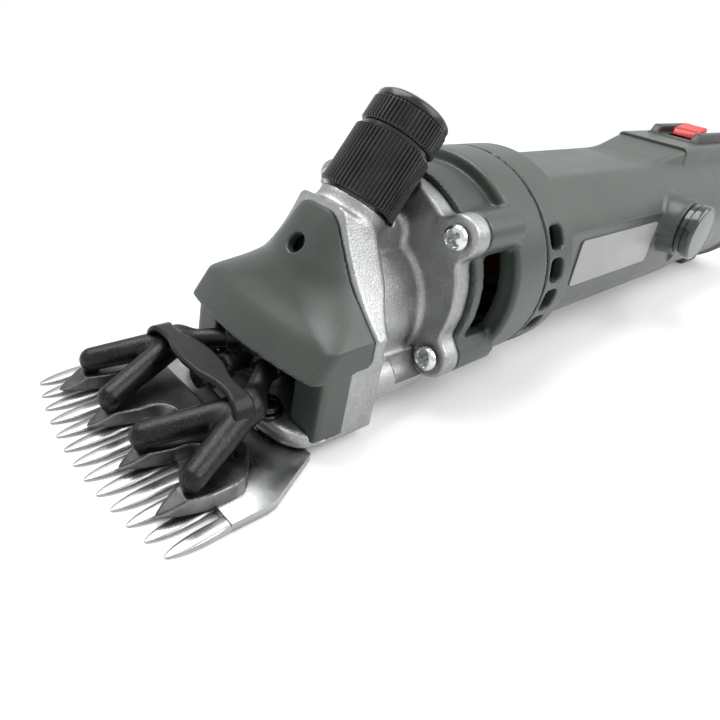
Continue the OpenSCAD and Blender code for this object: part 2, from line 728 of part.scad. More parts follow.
module stator_core() {
    color("slategray") place() difference() {
        cross_profile(stator_x, core_l) barrel_outline(barrel_in - 0.05, flat_in - 0.05);
        xcyl(stator_x - 1, core_l + 2, core_r + air_gap);
        for (a = [0, 180]) rotate([a, 0, 0]) box([stator_x - 1, -9, core_r - 2], [stator_x + core_l + 1, 9, flat_in - 4]);
    }
}
module field_coils() {
    color("chocolate") place() for (x = [stator_x - 6, stator_x + core_l]) {
        difference() {
            xtube(x, 6, flat_in - 1, core_r + 1.8);
            box([x - 1, -40, -5], [x + 7, 40, 5]);
        }
    }
}

// Brush gear: a carbon in a brass box on each side of the commutator
module brush_at(side) {
    x = stator_x + core_l + 11;
    color("dimgray") place() translate([x, 0, 0]) mirror([0, side > 0 ? 0 : 1, 0])
        box([0, comm_r + 0.1, -3], [6, comm_r + 11, 3]);
}
module brush_left() { brush_at(-1); }
module brush_right() { brush_at(1); }
module brush_holder_at(side) {
    x = stator_x + core_l + 11;
    color("goldenrod") place() translate([x, 0, 0]) mirror([0, side > 0 ? 0 : 1, 0]) difference() {
        union() {
            box([-1.2, comm_r + 2, -4.2], [7.2, comm_r + 13, 4.2]);
            box([7.1, comm_r + 4, -7], [bulk_x - x, comm_r + 12, 7]);
        }
        box([-0.05, comm_r + 1, -3.05], [6.05, comm_r + 12, 3.05]);
    }
}
module brush_holder_left() { brush_holder_at(-1); }
module brush_holder_right() { brush_holder_at(1); }

// Motor housing: bridged nose, vented ring, barrel with flat top, side panel and dial boss
module barrel_outline(r, flat) {
    intersection() {
        circle(r = r);
        translate([-r, -r]) square([2 * r, r + flat]);
    }
}
module house_outer() {
    xcyl(nose_x + 0.02, ring_x - nose_x + 3, nose_r);
    both_sides() {
        xcyl(nose_x + 0.02, ring_x - nose_x, 6.5, screw_up, screw_y);
        xcyl(nose_x + 0.02, ring_x - nose_x, 6.5, -screw_down, screw_y);
    }
    translate([ring_x, 0, 0]) rotate([0, 90, 0]) union() {
        cylinder(h = 1.6, r1 = ring_r - 1.6, r2 = ring_r);
        translate([0, 0, 1.6]) cylinder(h = ring_l - 4.6, r = ring_r);
        translate([0, 0, ring_l - 3]) cylinder(h = 3, r1 = ring_r, r2 = ring_r - 2.4);
    }
    cross_profile(ring_end - 2, barrel_l + 2) barrel_outline(barrel_r, flat_z);
    hull() {
        box([barrel_end - 34, -deck_hw + 3, flat_z - 4], [barrel_end - 33, deck_hw - 3, flat_z - 0.2]);
        box([barrel_end - 1, -deck_hw, flat_z - 4], [barrel_end, deck_hw, deck_z - 1.6]);
    }
    box([dial_x - 14, boss_y, dial_z - 14], [dial_x + 14, panel_y + 6, dial_z + 13]);
}
module motor_housing() {
    color("darkslategray") place() difference() {
        house_outer();
        // Motor space
        difference() {
            union() {
                xcyl(nose_x - 1, ring_x - nose_x + 3, nose_in);
                xcyl(ring_x + 2, ring_l - 5, ring_r - nose_wall - 1.2);
                cross_profile(ring_end - 4, barrel_l + 5) barrel_outline(barrel_in, flat_in);
            }
            bulkhead();
            both_sides() xcyl(barrel_end - 26, 30, 4.4, handle_screw_z, handle_screw_y);
        }
        xcyl(rear_bearing_x, 30, rear_bearing_r);
        xcyl(bulk_x - 1, 20, shaft_r + 1.5);
        // Exhaust windows between the bridges
        both_sides() box([nose_x + 3.4, 20, -screw_down + 7.4], [ring_x - 1.2, 45, screw_up - 7.4]);
        box([nose_x + 3.4, -14, -45], [ring_x - 1.2, 14, -20]);
        // Vents and parting groove of the ring
        for (side = [0, 180]) for (k = [0 : vents - 1]) rotate([side == 0 ? 27 - 17 * k : -27 + 17 * k, 0, side])
            box_vent();
        difference() {
            xcyl(ring_x + 16.4, 0.6, ring_r + 1);
            xcyl(ring_x + 16, 1.4, ring_r - 0.5);
        }
        // Flat side panel for the label, with the boss left standing
        difference() {
            box([ring_end + 6, -barrel_r - 1, -14], [dial_x + 16, panel_y, 14]);
            box([dial_x - 14, -60, -60], [dial_x + 14, 0, 60]);
        }
        // Dial shaft, housing screws
        translate([dial_x, 0, dial_z]) rotate([90, 0, 0]) cylinder(h = 60, r = 3 + run);
        both_sides() {
            xcyl(nose_x - 1, ring_x - nose_x - 1, 2.02, screw_up, screw_y);
            xcyl(nose_x - 1, ring_x - nose_x - 1, 2.02, -screw_down, screw_y);
            xcyl(barrel_end - 24, 30, 1.82, handle_screw_z, handle_screw_y);
        }
    }
}
module bulkhead() {
    difference() {
        union() {
            xcyl(bulk_x, 3, barrel_in + 0.5);
            xcyl(bulk_x, 9, rear_bearing_r + 3);
        }
        for (i = [0 : 5]) rotate([i * 60, 0, 0]) translate([0, 0, 21]) rotate([0, 90, 0]) translate([0, 0, bulk_x - 1]) cylinder(h = 6, r = 5.4);
    }
}
module box_vent() {
    y = ring_r;
    translate([ring_x + 21.6 - vent_w / 2, -y - 3, -vent_w / 2]) cube([vent_w, 14, vent_w]);
}

module flange_screw(side, z) {
    color("gainsboro") place() translate([0, side * screw_y, z]) difference() {
        union() {
            xcyl(flange_x - 2.9, 2.9, 3.9);
            xcyl(flange_x - 0.1, flange_t + 12, 2);
        }
        box([flange_x - 4, -2.6, -0.5], [flange_x - 1.4, 2.6, 0.5]);
        box([flange_x - 4, -0.5, -2.6], [flange_x - 1.4, 0.5, 2.6]);
    }
}
module flange_screw_upper_left() { flange_screw(-1, screw_up); }
module flange_screw_upper_right() { flange_screw(1, screw_up); }
module flange_screw_lower_left() { flange_screw(-1, -screw_down); }
module flange_screw_lower_right() { flange_screw(1, -screw_down); }

module label_plate() {
    color("gainsboro") place() box([ring_end + 12, panel_y - 0.6, -11], [ring_end + 12 + label_l, panel_y - 0.01, 10.5]);
}

// Speed dial on a shaft that runs to the board inside the barrel
module speed_dial() {
    color("darkslategray") place() translate([dial_x, 0, dial_z]) rotate([90, 0, 0]) union() {
        translate([0, 0, dial_face - dial_rim]) knurled(dial_r, dial_rim - 1, 40, 0.3);
        translate([0, 0, dial_face - 1.02]) cylinder(h = 1.02, r1 = dial_r, r2 = dial_r - 0.8);
        translate([0, 0, 21.5]) cylinder(h = dial_face - dial_rim - 21, r = 3);
    }
}
module speed_board() {
    color("darkgreen") place() difference() {
        union() {
            box([dial_x - 12, -17.4, -8], [dial_x + 12, -15.8, 18]);
            translate([dial_x, -17.3, dial_z]) rotate([90, 0, 0]) cylinder(h = 5.4, r = 7.5);
            box([dial_x - 11, -20.5, -8], [dial_x - 7, -17.3, -5]);
            box([dial_x - 11, -20.5, 15], [dial_x - 7, -17.3, 18]);
        }
        translate([dial_x, -20.5, dial_z]) rotate([90, 0, 0]) cylinder(h = 20, r = 3 + run);
    }
}

// Rear handle: shell with switch deck, flared end with a flat pad, gland seat
module handle_outer() {
    xcyl(barrel_end + 0.4, handle_l - 0.4, handle_r);
    hull() {
        box([barrel_end + 0.4, -deck_hw, 10], [barrel_end + 76, deck_hw, deck_z - 1.4]);
        box([barrel_end + 0.4, -deck_hw + 5, 10], [barrel_end + 76, deck_hw - 5, deck_z]);
        box([barrel_end + 92, -deck_hw + 6, 10], [barrel_end + 93, deck_hw - 6, 28]);
    }
    xcyl(handle_end - foot_pad_l, foot_pad_l - 3, handle_r + 2);
    hull() {
        box([handle_end - foot_pad_l, -12, rest_z], [handle_end - 3, 12, rest_z + 1]);
        box([handle_end - foot_pad_l, -16, rest_z + 9], [handle_end - 3, 16, rest_z + 10]);
    }
}
module rear_handle() {
    color("darkslategray") place() difference() {
        union() {
            difference() {
                handle_outer();
                xcyl(barrel_end - 1, handle_l - house_wall + 1, handle_in);
                box([frame_x + 1, -10, 0], [frame_x + frame_l - 1, 10, 60]);
                box([frame_x, -12, frame_z], [frame_x + frame_l, 12, 60]);
            }
            difference() {
                cross_profile(barrel_end - 8, 9) barrel_outline(barrel_in - 0.05, flat_in - 0.05);
                xcyl(barrel_end - 9, 20, flat_in - 2);
                both_sides() xcyl(barrel_end - 10, 30, 5, handle_screw_z, handle_screw_y);
            }
            both_sides() xcyl(barrel_end + 0.4, handle_l - 1, 4.4, handle_screw_z, handle_screw_y);
            difference() {
                xcyl(barrel_end + 0.4, 1.4, handle_in + 1);
                xcyl(barrel_end - 1, 9, flat_in - 2);
            }
        }
        xcyl(handle_end - 20, 30, 8.02);
        both_sides() {
            xcyl(barrel_end - 1, handle_l + 2, 1.8 + screw_gap, handle_screw_z, handle_screw_y);
            xcyl(handle_end - 2.6, 6, 4, handle_screw_z, handle_screw_y);
        }
    }
}
module handle_screw(side) {
    color("gainsboro") place() translate([0, side * handle_screw_y, handle_screw_z]) union() {
        xcyl(barrel_end - 20, handle_l + 18, 1.8);
        xcyl(handle_end - 2.6, 2.2, 3.6);
    }
}
module handle_screw_left() { handle_screw(-1); }
module handle_screw_right() { handle_screw(1); }

// Switch: frame with two guard rails, pale plate, red slide button and the switch below
module switch_frame() {
    color("black") place() difference() {
        union() {
            box([frame_x + 0.05, -11.95, frame_z], [frame_x + frame_l - 0.05, 11.95, frame_z + 1.6]);
            box([frame_x + 1.05, -9.95, frame_z - 6], [frame_x + frame_l - 1.05, 9.95, frame_z + 0.1]);
            both_sides() side_rail();
        }
        box([slide_x - button_travel - 1, -button_w / 2 - slack, frame_z - 8], [slide_x + button_l + 0.8, button_w / 2 + slack, 60]);
    }
}
module side_rail() {
    translate([0, 11.9, 0]) rotate([90, 0, 0]) linear_extrude(3.6)
        polygon([[frame_x + 2, frame_z + 1], [frame_x + 6, frame_z + 5.4], [frame_x + frame_l - 6, frame_z + 5.4],
            [frame_x + frame_l - 2, frame_z + 1]]);
}
module marking_plate() {
    color("gainsboro") place() box([slide_x + button_l + 1.4, -button_w / 2 - 1, frame_z + 1.62],
        [frame_x + frame_l - 7, button_w / 2 + 1, frame_z + 2.4]);
}
module switch_slide() {
    color("red") place() union() {
        side_slab(button_w) polygon([[slide_x, frame_z + 1.2], [slide_x + 1.5, frame_z + 4.4], [slide_x + 5, frame_z + 5.6],
            [slide_x + button_l - 2, frame_z + 7], [slide_x + button_l, frame_z + 5.6], [slide_x + button_l, frame_z + 1.2]]);
        side_slab(5) polygon([[slide_x + 4, frame_z - 9], [slide_x + 4, frame_z + 2], [slide_x + 9, frame_z + 2],
            [slide_x + 9, frame_z - 9]]);
    }
}
module side_slab(w) { rotate([90, 0, 0]) translate([0, 0, -w / 2]) linear_extrude(w) children(); }
module switch_body() {
    color("dimgray") place() difference() {
        box([slide_x - 13, -9.5, frame_z - 26], [slide_x + 22, 9.5, frame_z - 6.02]);
        box([slide_x - button_travel + 3, -3, frame_z - 10], [slide_x + 9.6, 3, frame_z]);
    }
}

module cord_gland() {
    color("black") place() difference() {
        union() {
            xcyl(handle_end - 16, 16 + gland_l, 8);
            xcyl(handle_end - 1, 3, 8);
            xcyl(handle_end + 0.02, 2.4, 10);
        }
        xcyl(handle_end - 20, 60, cord_r);
    }
}

comb();
comb_screw_left();
comb_screw_right();
cutter();
foot_left();
foot_right();
retaining_clip();
clip_screw();
fork();
pivot_post();
head_casting();
front_cover();
tension_sleeve();
tension_pin();
tension_nut();
lock_cap();
crank_roller();
crankshaft();
crank_gear();
crank_bearing();
crank_bush();
gear_plate();
pinion();
motor_shaft();
armature_core();
armature_winding();
commutator();
fan();
front_bearing();
rear_bearing();
stator_core();
field_coils();
brush_left();
brush_right();
brush_holder_left();
brush_holder_right();
motor_housing();
flange_screw_upper_left();
flange_screw_upper_right();
flange_screw_lower_left();
flange_screw_lower_right();
label_plate();
speed_dial();
speed_board();
rear_handle();
handle_screw_left();
handle_screw_right();
switch_frame();
marking_plate();
switch_slide();
switch_body();
cord_gland();
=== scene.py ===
"""Looks of a pair of mains sheep shears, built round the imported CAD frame.

Sizes are millimetres in the shears' own axes: x runs back from the comb tips, y across, and z up
from the motor axis. They become metres in the row frame where a mesh is made.
"""
import json
import logging
import math
from collections.abc import Callable, Sequence
from dataclasses import dataclass
from enum import Enum

import bmesh
import bpy
import numpy as np
from mathutils import Matrix, Vector


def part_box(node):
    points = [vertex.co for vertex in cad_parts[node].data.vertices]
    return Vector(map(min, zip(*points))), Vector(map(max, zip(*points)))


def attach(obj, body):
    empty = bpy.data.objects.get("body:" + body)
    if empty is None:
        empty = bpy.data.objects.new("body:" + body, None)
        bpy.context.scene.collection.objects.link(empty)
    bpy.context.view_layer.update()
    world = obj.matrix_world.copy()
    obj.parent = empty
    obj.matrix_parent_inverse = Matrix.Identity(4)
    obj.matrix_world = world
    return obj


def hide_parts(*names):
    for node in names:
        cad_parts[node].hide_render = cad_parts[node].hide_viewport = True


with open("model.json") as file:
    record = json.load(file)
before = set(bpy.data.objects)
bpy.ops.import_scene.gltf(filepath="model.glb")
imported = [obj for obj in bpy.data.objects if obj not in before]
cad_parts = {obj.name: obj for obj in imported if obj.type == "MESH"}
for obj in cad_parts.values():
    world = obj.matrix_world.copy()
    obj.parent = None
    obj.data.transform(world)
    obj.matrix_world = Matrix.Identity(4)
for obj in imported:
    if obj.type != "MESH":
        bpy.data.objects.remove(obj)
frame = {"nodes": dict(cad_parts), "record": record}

LOG = logging.getLogger("shears")
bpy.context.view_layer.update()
COMB_LOW, SHAFT_LOW, SHAFT_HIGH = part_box("comb")[0], *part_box("motor_shaft")
ORIGIN = np.array([COMB_LOW[0], (SHAFT_LOW[1] + SHAFT_HIGH[1]) / 2, (SHAFT_LOW[2] + SHAFT_HIGH[2]) / 2])
Points = np.ndarray
Faces = Sequence[Sequence[int]]
# Places in y and z that pieces of several groups share, in millimetres
SCREW_SEATS = ((26.8, 20.3), (26.8, -18.8))
CRANK_Z = -18.0
CLIP_SCREW_Z = -21.2
DIAL_X, DIAL_Z = 249.0, 8.0
# Directions used to sample the barrel and the handle, and the radius that is outside both
ROUND = np.linspace(0, 2 * math.pi, 330, endpoint=False)
OUTSIDE_R = 60


def linear(hex_colour: str) -> tuple[float, float, float, float]:
    """Turns an sRGB hex colour into Blender's linear colour.

    Args:
        hex_colour: Six hex digits, such as "6b736d".

    Returns:
        Linear red, green, blue and an alpha of 1.
    """
    parts = [int(hex_colour[i : i + 2], 16) / 255 for i in (0, 2, 4)]
    return (*[c / 12.92 if c <= 0.04045 else ((c + 0.055) / 1.055) ** 2.4 for c in parts], 1.0)


def add_node(tree: bpy.types.NodeTree, kind: str, inputs: dict | None = None, **settings) -> bpy.types.Node:
    """Adds one node to a shader or geometry tree.

    Args:
        tree: The node tree that gets the node.
        kind: Blender's name of the node type.
        inputs: Input name or number to a value, or to the output socket that feeds it.
        settings: Attributes of the node itself.

    Returns:
        The new node.
    """
    node = tree.nodes.new(kind)
    for key, value in settings.items():
        setattr(node, key, value)
    for key, value in (inputs or {}).items():
        if isinstance(value, bpy.types.NodeSocket):
            tree.links.new(value, node.inputs[key])
        else:
            node.inputs[key].default_value = value
    return node


class Lay(Enum):
    """The way that tool marks run on a surface, as the stretch of the pattern along x, y and z."""

    NONE = (1.0, 1.0, 1.0)
    ALONG_X = (0.02, 1.0, 1.0)
    ALONG_Y = (1.0, 0.02, 1.0)
    ROUND_AXIS = (1.0, 0.05, 0.05)


@dataclass(frozen=True)
class Finish:
    """One material: its colour, how it was made, and the marks that this leaves.

    Lengths are millimetres on the object.
    """

    name: str
    colour: str
    shade: str
    metallic: float = 0.0
    roughness: float = 0.5
    roughness_spread: float = 0.08
    patch_mm: float = 14.0
    grain_mm: float = 0.5
    grain_depth_mm: float = 0.02
    marks: Lay = Lay.NONE
    mark_mm: float = 0.3
    mark_depth_mm: float = 0.0
    speck_mm: float = 0.9
    specks: float = 0.0
    speck_colour: str = "ffffff"
    coat: float = 0.0

    def material(self) -> bpy.types.Material:
        """Builds the material once and hands out the same one after that.

        Returns:
            The material with its node tree.
        """
        made = bpy.data.materials.get(self.name)
        if made is not None:
            return made
        made = bpy.data.materials.new(self.name)
        made.use_nodes = True
        tree = made.node_tree
        tree.nodes.clear()
        place = add_node(tree, "ShaderNodeTexCoord")
        mm = add_node(tree, "ShaderNodeMapping", {"Vector": place.outputs["Object"], "Scale": (1000, 1000, 1000)})
        patch = add_node(tree, "ShaderNodeTexNoise",
                         {"Vector": mm.outputs[0], "Scale": 1 / self.patch_mm, "Detail": 5.0, "Roughness": 0.62})
        grain = add_node(tree, "ShaderNodeTexNoise",
                         {"Vector": mm.outputs[0], "Scale": 1 / self.grain_mm, "Detail": 2.0})
        both = add_node(tree, "ShaderNodeMapRange", {"Value": patch.outputs["Fac"], "From Min": 0.3, "From Max": 0.7})
        colour = add_node(tree, "ShaderNodeMix", {"Factor": both.outputs[0]}, data_type="RGBA")
        colour.inputs[6].default_value, colour.inputs[7].default_value = linear(self.shade), linear(self.colour)
        base = colour.outputs[2]
        if self.specks > 0:
            cells = add_node(tree, "ShaderNodeTexNoise",
                             {"Vector": mm.outputs[0], "Scale": 1 / self.speck_mm, "Detail": 1.0})
            spots = add_node(tree, "ShaderNodeMapRange",
                             {"Value": cells.outputs["Fac"], "From Min": 0.55, "From Max": 0.72, "To Max": self.specks})
            mixed = add_node(tree, "ShaderNodeMix", {"Factor": spots.outputs[0]}, data_type="RGBA")
            tree.links.new(base, mixed.inputs[6])
            mixed.inputs[7].default_value = linear(self.speck_colour)
            base = mixed.outputs[2]
        rough = add_node(tree, "ShaderNodeMapRange", {"Value": patch.outputs["Fac"], "From Min": 0.25, "From Max": 0.75,
                                                      "To Min": max(0.02, self.roughness - self.roughness_spread),
                                                      "To Max": self.roughness + self.roughness_spread})
        bump = add_node(tree, "ShaderNodeBump", {"Height": grain.outputs["Fac"], "Distance": self.grain_depth_mm / 1000,
                                                 "Strength": 1.0})
        if self.mark_depth_mm > 0:
            turned = add_node(tree, "ShaderNodeMapping", {"Vector": mm.outputs[0], "Scale": self.marks.value})
            marks = add_node(tree, "ShaderNodeTexNoise",
                             {"Vector": turned.outputs[0], "Scale": 1 / self.mark_mm, "Detail": 4.0})
            bump = add_node(tree, "ShaderNodeBump",
                            {"Height": marks.outputs["Fac"], "Distance": self.mark_depth_mm / 1000, "Strength": 1.0,
                             "Normal": bump.outputs[0]})
        shader = add_node(tree, "ShaderNodeBsdfPrincipled", {"Base Color": base, "Metallic": self.metallic,
                                                             "Roughness": rough.outputs[0], "Normal": bump.outputs[0],
                                                             "Coat Weight": self.coat, "Coat Roughness": 0.12})
        add_node(tree, "ShaderNodeOutputMaterial", {"Surface": shader.outputs[0]})
        return made


# Glass-filled nylon from a spark-eroded mould: a green-grey satin skin with a fine even grain
MOULDED_NYLON = Finish("moulded_glass_filled_nylon", "424944", "383f3b", roughness=0.40, grain_mm=0.45,
                       grain_depth_mm=0.04,
                       specks=0.08, speck_mm=0.6, speck_colour="6f7772", patch_mm=22)
# Die-cast aluminium, shot-blasted: bright, matt and sandy, with small dark pits between bright grains
BLASTED_ALUMINIUM = Finish("shot_blasted_cast_aluminium", "a3a4a4", "8c8d8d", metallic=0.9, roughness=0.42,
                           grain_mm=0.55,
                           grain_depth_mm=0.11, specks=0.3, speck_mm=0.7, speck_colour="cfcfce", patch_mm=9)
# Comb of hardened steel, surface-ground and polished: a soft mirror with fine lines along the teeth
GROUND_STEEL = Finish("surface_ground_steel", "a4a5a6", "8d8e8f", metallic=1.0, roughness=0.3, grain_mm=2.0,
                      grain_depth_mm=0.01,
                      marks=Lay.ALONG_X, mark_mm=0.35, mark_depth_mm=0.012, patch_mm=7)
# Cutter flanks fresh from the grinding disc: bright with fine grinding lines across
FLANK_STEEL = Finish("disc_ground_cutter_steel", "858585", "6c6c6c", metallic=1.0, roughness=0.32, grain_mm=0.8,
                     grain_depth_mm=0.01,
                     marks=Lay.ALONG_X, mark_mm=0.3, mark_depth_mm=0.02, patch_mm=5)
# Cutter top left from hardening: dark satin steel with oil stains
HARDENED_STEEL = Finish("hardened_cutter_steel", "5a5a5b", "404041", metallic=0.9, roughness=0.34, grain_mm=0.7,
                        grain_depth_mm=0.03, specks=0.14, speck_mm=1.2, speck_colour="6a6a6b", patch_mm=6)
# Drop-forged feet, black-oxided: near black, slightly sparkling where grains catch the light
BLACK_FORGING = Finish("black_oxide_forging", "262627", "19191a", metallic=0.7, roughness=0.36, grain_mm=0.6,
                       grain_depth_mm=0.06, specks=0.16, speck_mm=0.5, speck_colour="6c6c6c", patch_mm=5)
# Sprung steel strip, blackened: darker and smoother than the forgings
BLACK_SPRING = Finish("blackened_spring_steel", "1e1e1f", "131314", metallic=0.6, roughness=0.36, grain_mm=0.5,
                      grain_depth_mm=0.025, specks=0.1, speck_mm=0.7, speck_colour="4b4b4b", patch_mm=5)
# Turned steel, hot-blacked: deep black with a clean gloss that picks out each rib
BLACKED_TURNING = Finish("hot_blacked_turned_steel", "303031", "222223", metallic=0.55, roughness=0.27, grain_mm=0.4,
                         grain_depth_mm=0.006, patch_mm=8, coat=0.2)
# Zinc-plated machine screws: bright, faintly grey, a little scuffed
PLATED_SCREW = Finish("zinc_plated_steel", "dadcdb", "bfc2c1", metallic=1.0, roughness=0.22, grain_mm=0.8,
                      grain_depth_mm=0.012,
                      patch_mm=2.5)
# Bare turned steel inside the tool, filmed with oil
OILED_STEEL = Finish("oiled_turned_steel", "9a9a99", "7b7b7a", metallic=1.0, roughness=0.28, marks=Lay.ROUND_AXIS,
                     mark_mm=0.4,
                     mark_depth_mm=0.015)
# Black nylon mouldings inside and round the switch: plain semi-matt black
BLACK_NYLON = Finish("moulded_black_nylon", "202221", "181a19", roughness=0.42, grain_mm=0.5, grain_depth_mm=0.025,
                     patch_mm=12)
# Slide button in red ABS from a polished mould: clean gloss with faint thumb wear
RED_ABS = Finish("moulded_red_abs", "cc2414", "bd1d0f", roughness=0.3, grain_mm=1.2, grain_depth_mm=0.008,
                 patch_mm=6, coat=0.15)
# Label blank: matt silver vinyl on the flat panel
LABEL_VINYL = Finish("matt_silver_vinyl", "9e9e9e", "939393", metallic=0.15, roughness=0.45, grain_mm=0.6,
                     grain_depth_mm=0.008,
                     marks=Lay.ALONG_X, mark_mm=0.4, mark_depth_mm=0.006)
# Dial face: moulded matt disc, pale green-grey
DIAL_FACE = Finish("matt_moulded_dial_face", "7f8781", "757d77", roughness=0.5, grain_mm=0.5, grain_depth_mm=0.015)
# Dial rim: the same moulding polished, dark and shiny
DIAL_RIM = Finish("polished_moulded_dial_rim", "2f3532", "262b29", roughness=0.2, grain_mm=1.0, grain_depth_mm=0.006,
                  coat=0.4)
# Pale plate behind the button: natural polycarbonate, matt
PALE_PLATE = Finish("moulded_pale_polycarbonate", "d9d9d6", "cdcdca", roughness=0.4, grain_mm=0.6, grain_depth_mm=0.01)
# Cable grommet in moulded rubber: matt black with a faint bloom
RUBBER = Finish("moulded_black_rubber", "222222", "2b2b2b", roughness=0.68, grain_mm=0.6, grain_depth_mm=0.03)
# Stacked lamination steel of the motor: dull grey with fine plate lines across the axis
LAMINATIONS = Finish("stacked_lamination_steel", "6e6e6d", "5c5c5b", metallic=0.9, roughness=0.42, marks=Lay.ALONG_Y,
                     mark_mm=0.5,
                     mark_depth_mm=0.05)
# Enamelled copper windings under dipping varnish: dark red-brown and glossy; part of that darkness is painted shade for
# the recess seen through the nose windows
ENAMELLED_COPPER_PAINTED_SHADE = Finish("enamelled_copper_wire", "46260f", "331b0c", metallic=0.7, roughness=0.35,
                          marks=Lay.ALONG_X, mark_mm=0.8,
                          mark_depth_mm=0.12)
# Sintered bronze of the small bush: warm, porous and matt
SINTERED_BRONZE = Finish("sintered_bronze", "a8834d", "8d6c3d", metallic=1.0, roughness=0.45, grain_mm=0.4,
                         grain_depth_mm=0.05)
# Pressed carbon of the brushes: soft black
CARBON = Finish("pressed_carbon", "2a2a2b", "202021", roughness=0.6, grain_mm=0.3, grain_depth_mm=0.04)
# Etched circuit board under green resist
BOARD = Finish("resist_coated_glass_epoxy", "1f5b37", "184a2c", roughness=0.3, grain_mm=1.5, grain_depth_mm=0.02,
               coat=0.2)


def soft_min(a: np.ndarray, b: np.ndarray, blend: float | np.ndarray) -> np.ndarray:
    """Smaller of two fields, with a fillet where they meet.

    Args:
        a: First field's values.
        b: Second field's values.
        blend: Width of the fillet in millimetres, one number or one for each value.

    Returns:
        The joined field's values.
    """
    if np.isscalar(blend) and blend <= 0:
        return np.minimum(a, b)
    lap = np.clip(blend - np.abs(a - b), 0, None) / blend
    return np.minimum(a, b) - lap * lap * blend * 0.25


def smooth_curve(xs: Sequence[float], ys: Sequence[float]) -> Callable[[np.ndarray], np.ndarray]:
    """Smooth curve through points, straight beyond both ends.

    Args:
        xs: Rising positions.
        ys: Heights there.

    Returns:
        A function from positions to heights.
    """
    x, y = np.asarray(xs, float), np.asarray(ys, float)
    slope = np.gradient(y, x)

    def height(at: np.ndarray) -> np.ndarray:
        """Heights at the positions given."""
        i = np.clip(np.searchsorted(x, at) - 1, 0, len(x) - 2)
        w = x[i + 1] - x[i]
        t = np.clip((at - x[i]) / w, 0, 1)
        inside = ((1 + 2 * t) * (1 - t) ** 2 * y[i] + t * (1 - t) ** 2 * w * slope[i]
                  + t * t * (3 - 2 * t) * y[i + 1] + t * t * (t - 1) * w * slope[i + 1])
        return inside + np.minimum(at - x[0], 0) * slope[0] + np.maximum(at - x[-1], 0) * slope[-1]

    return height


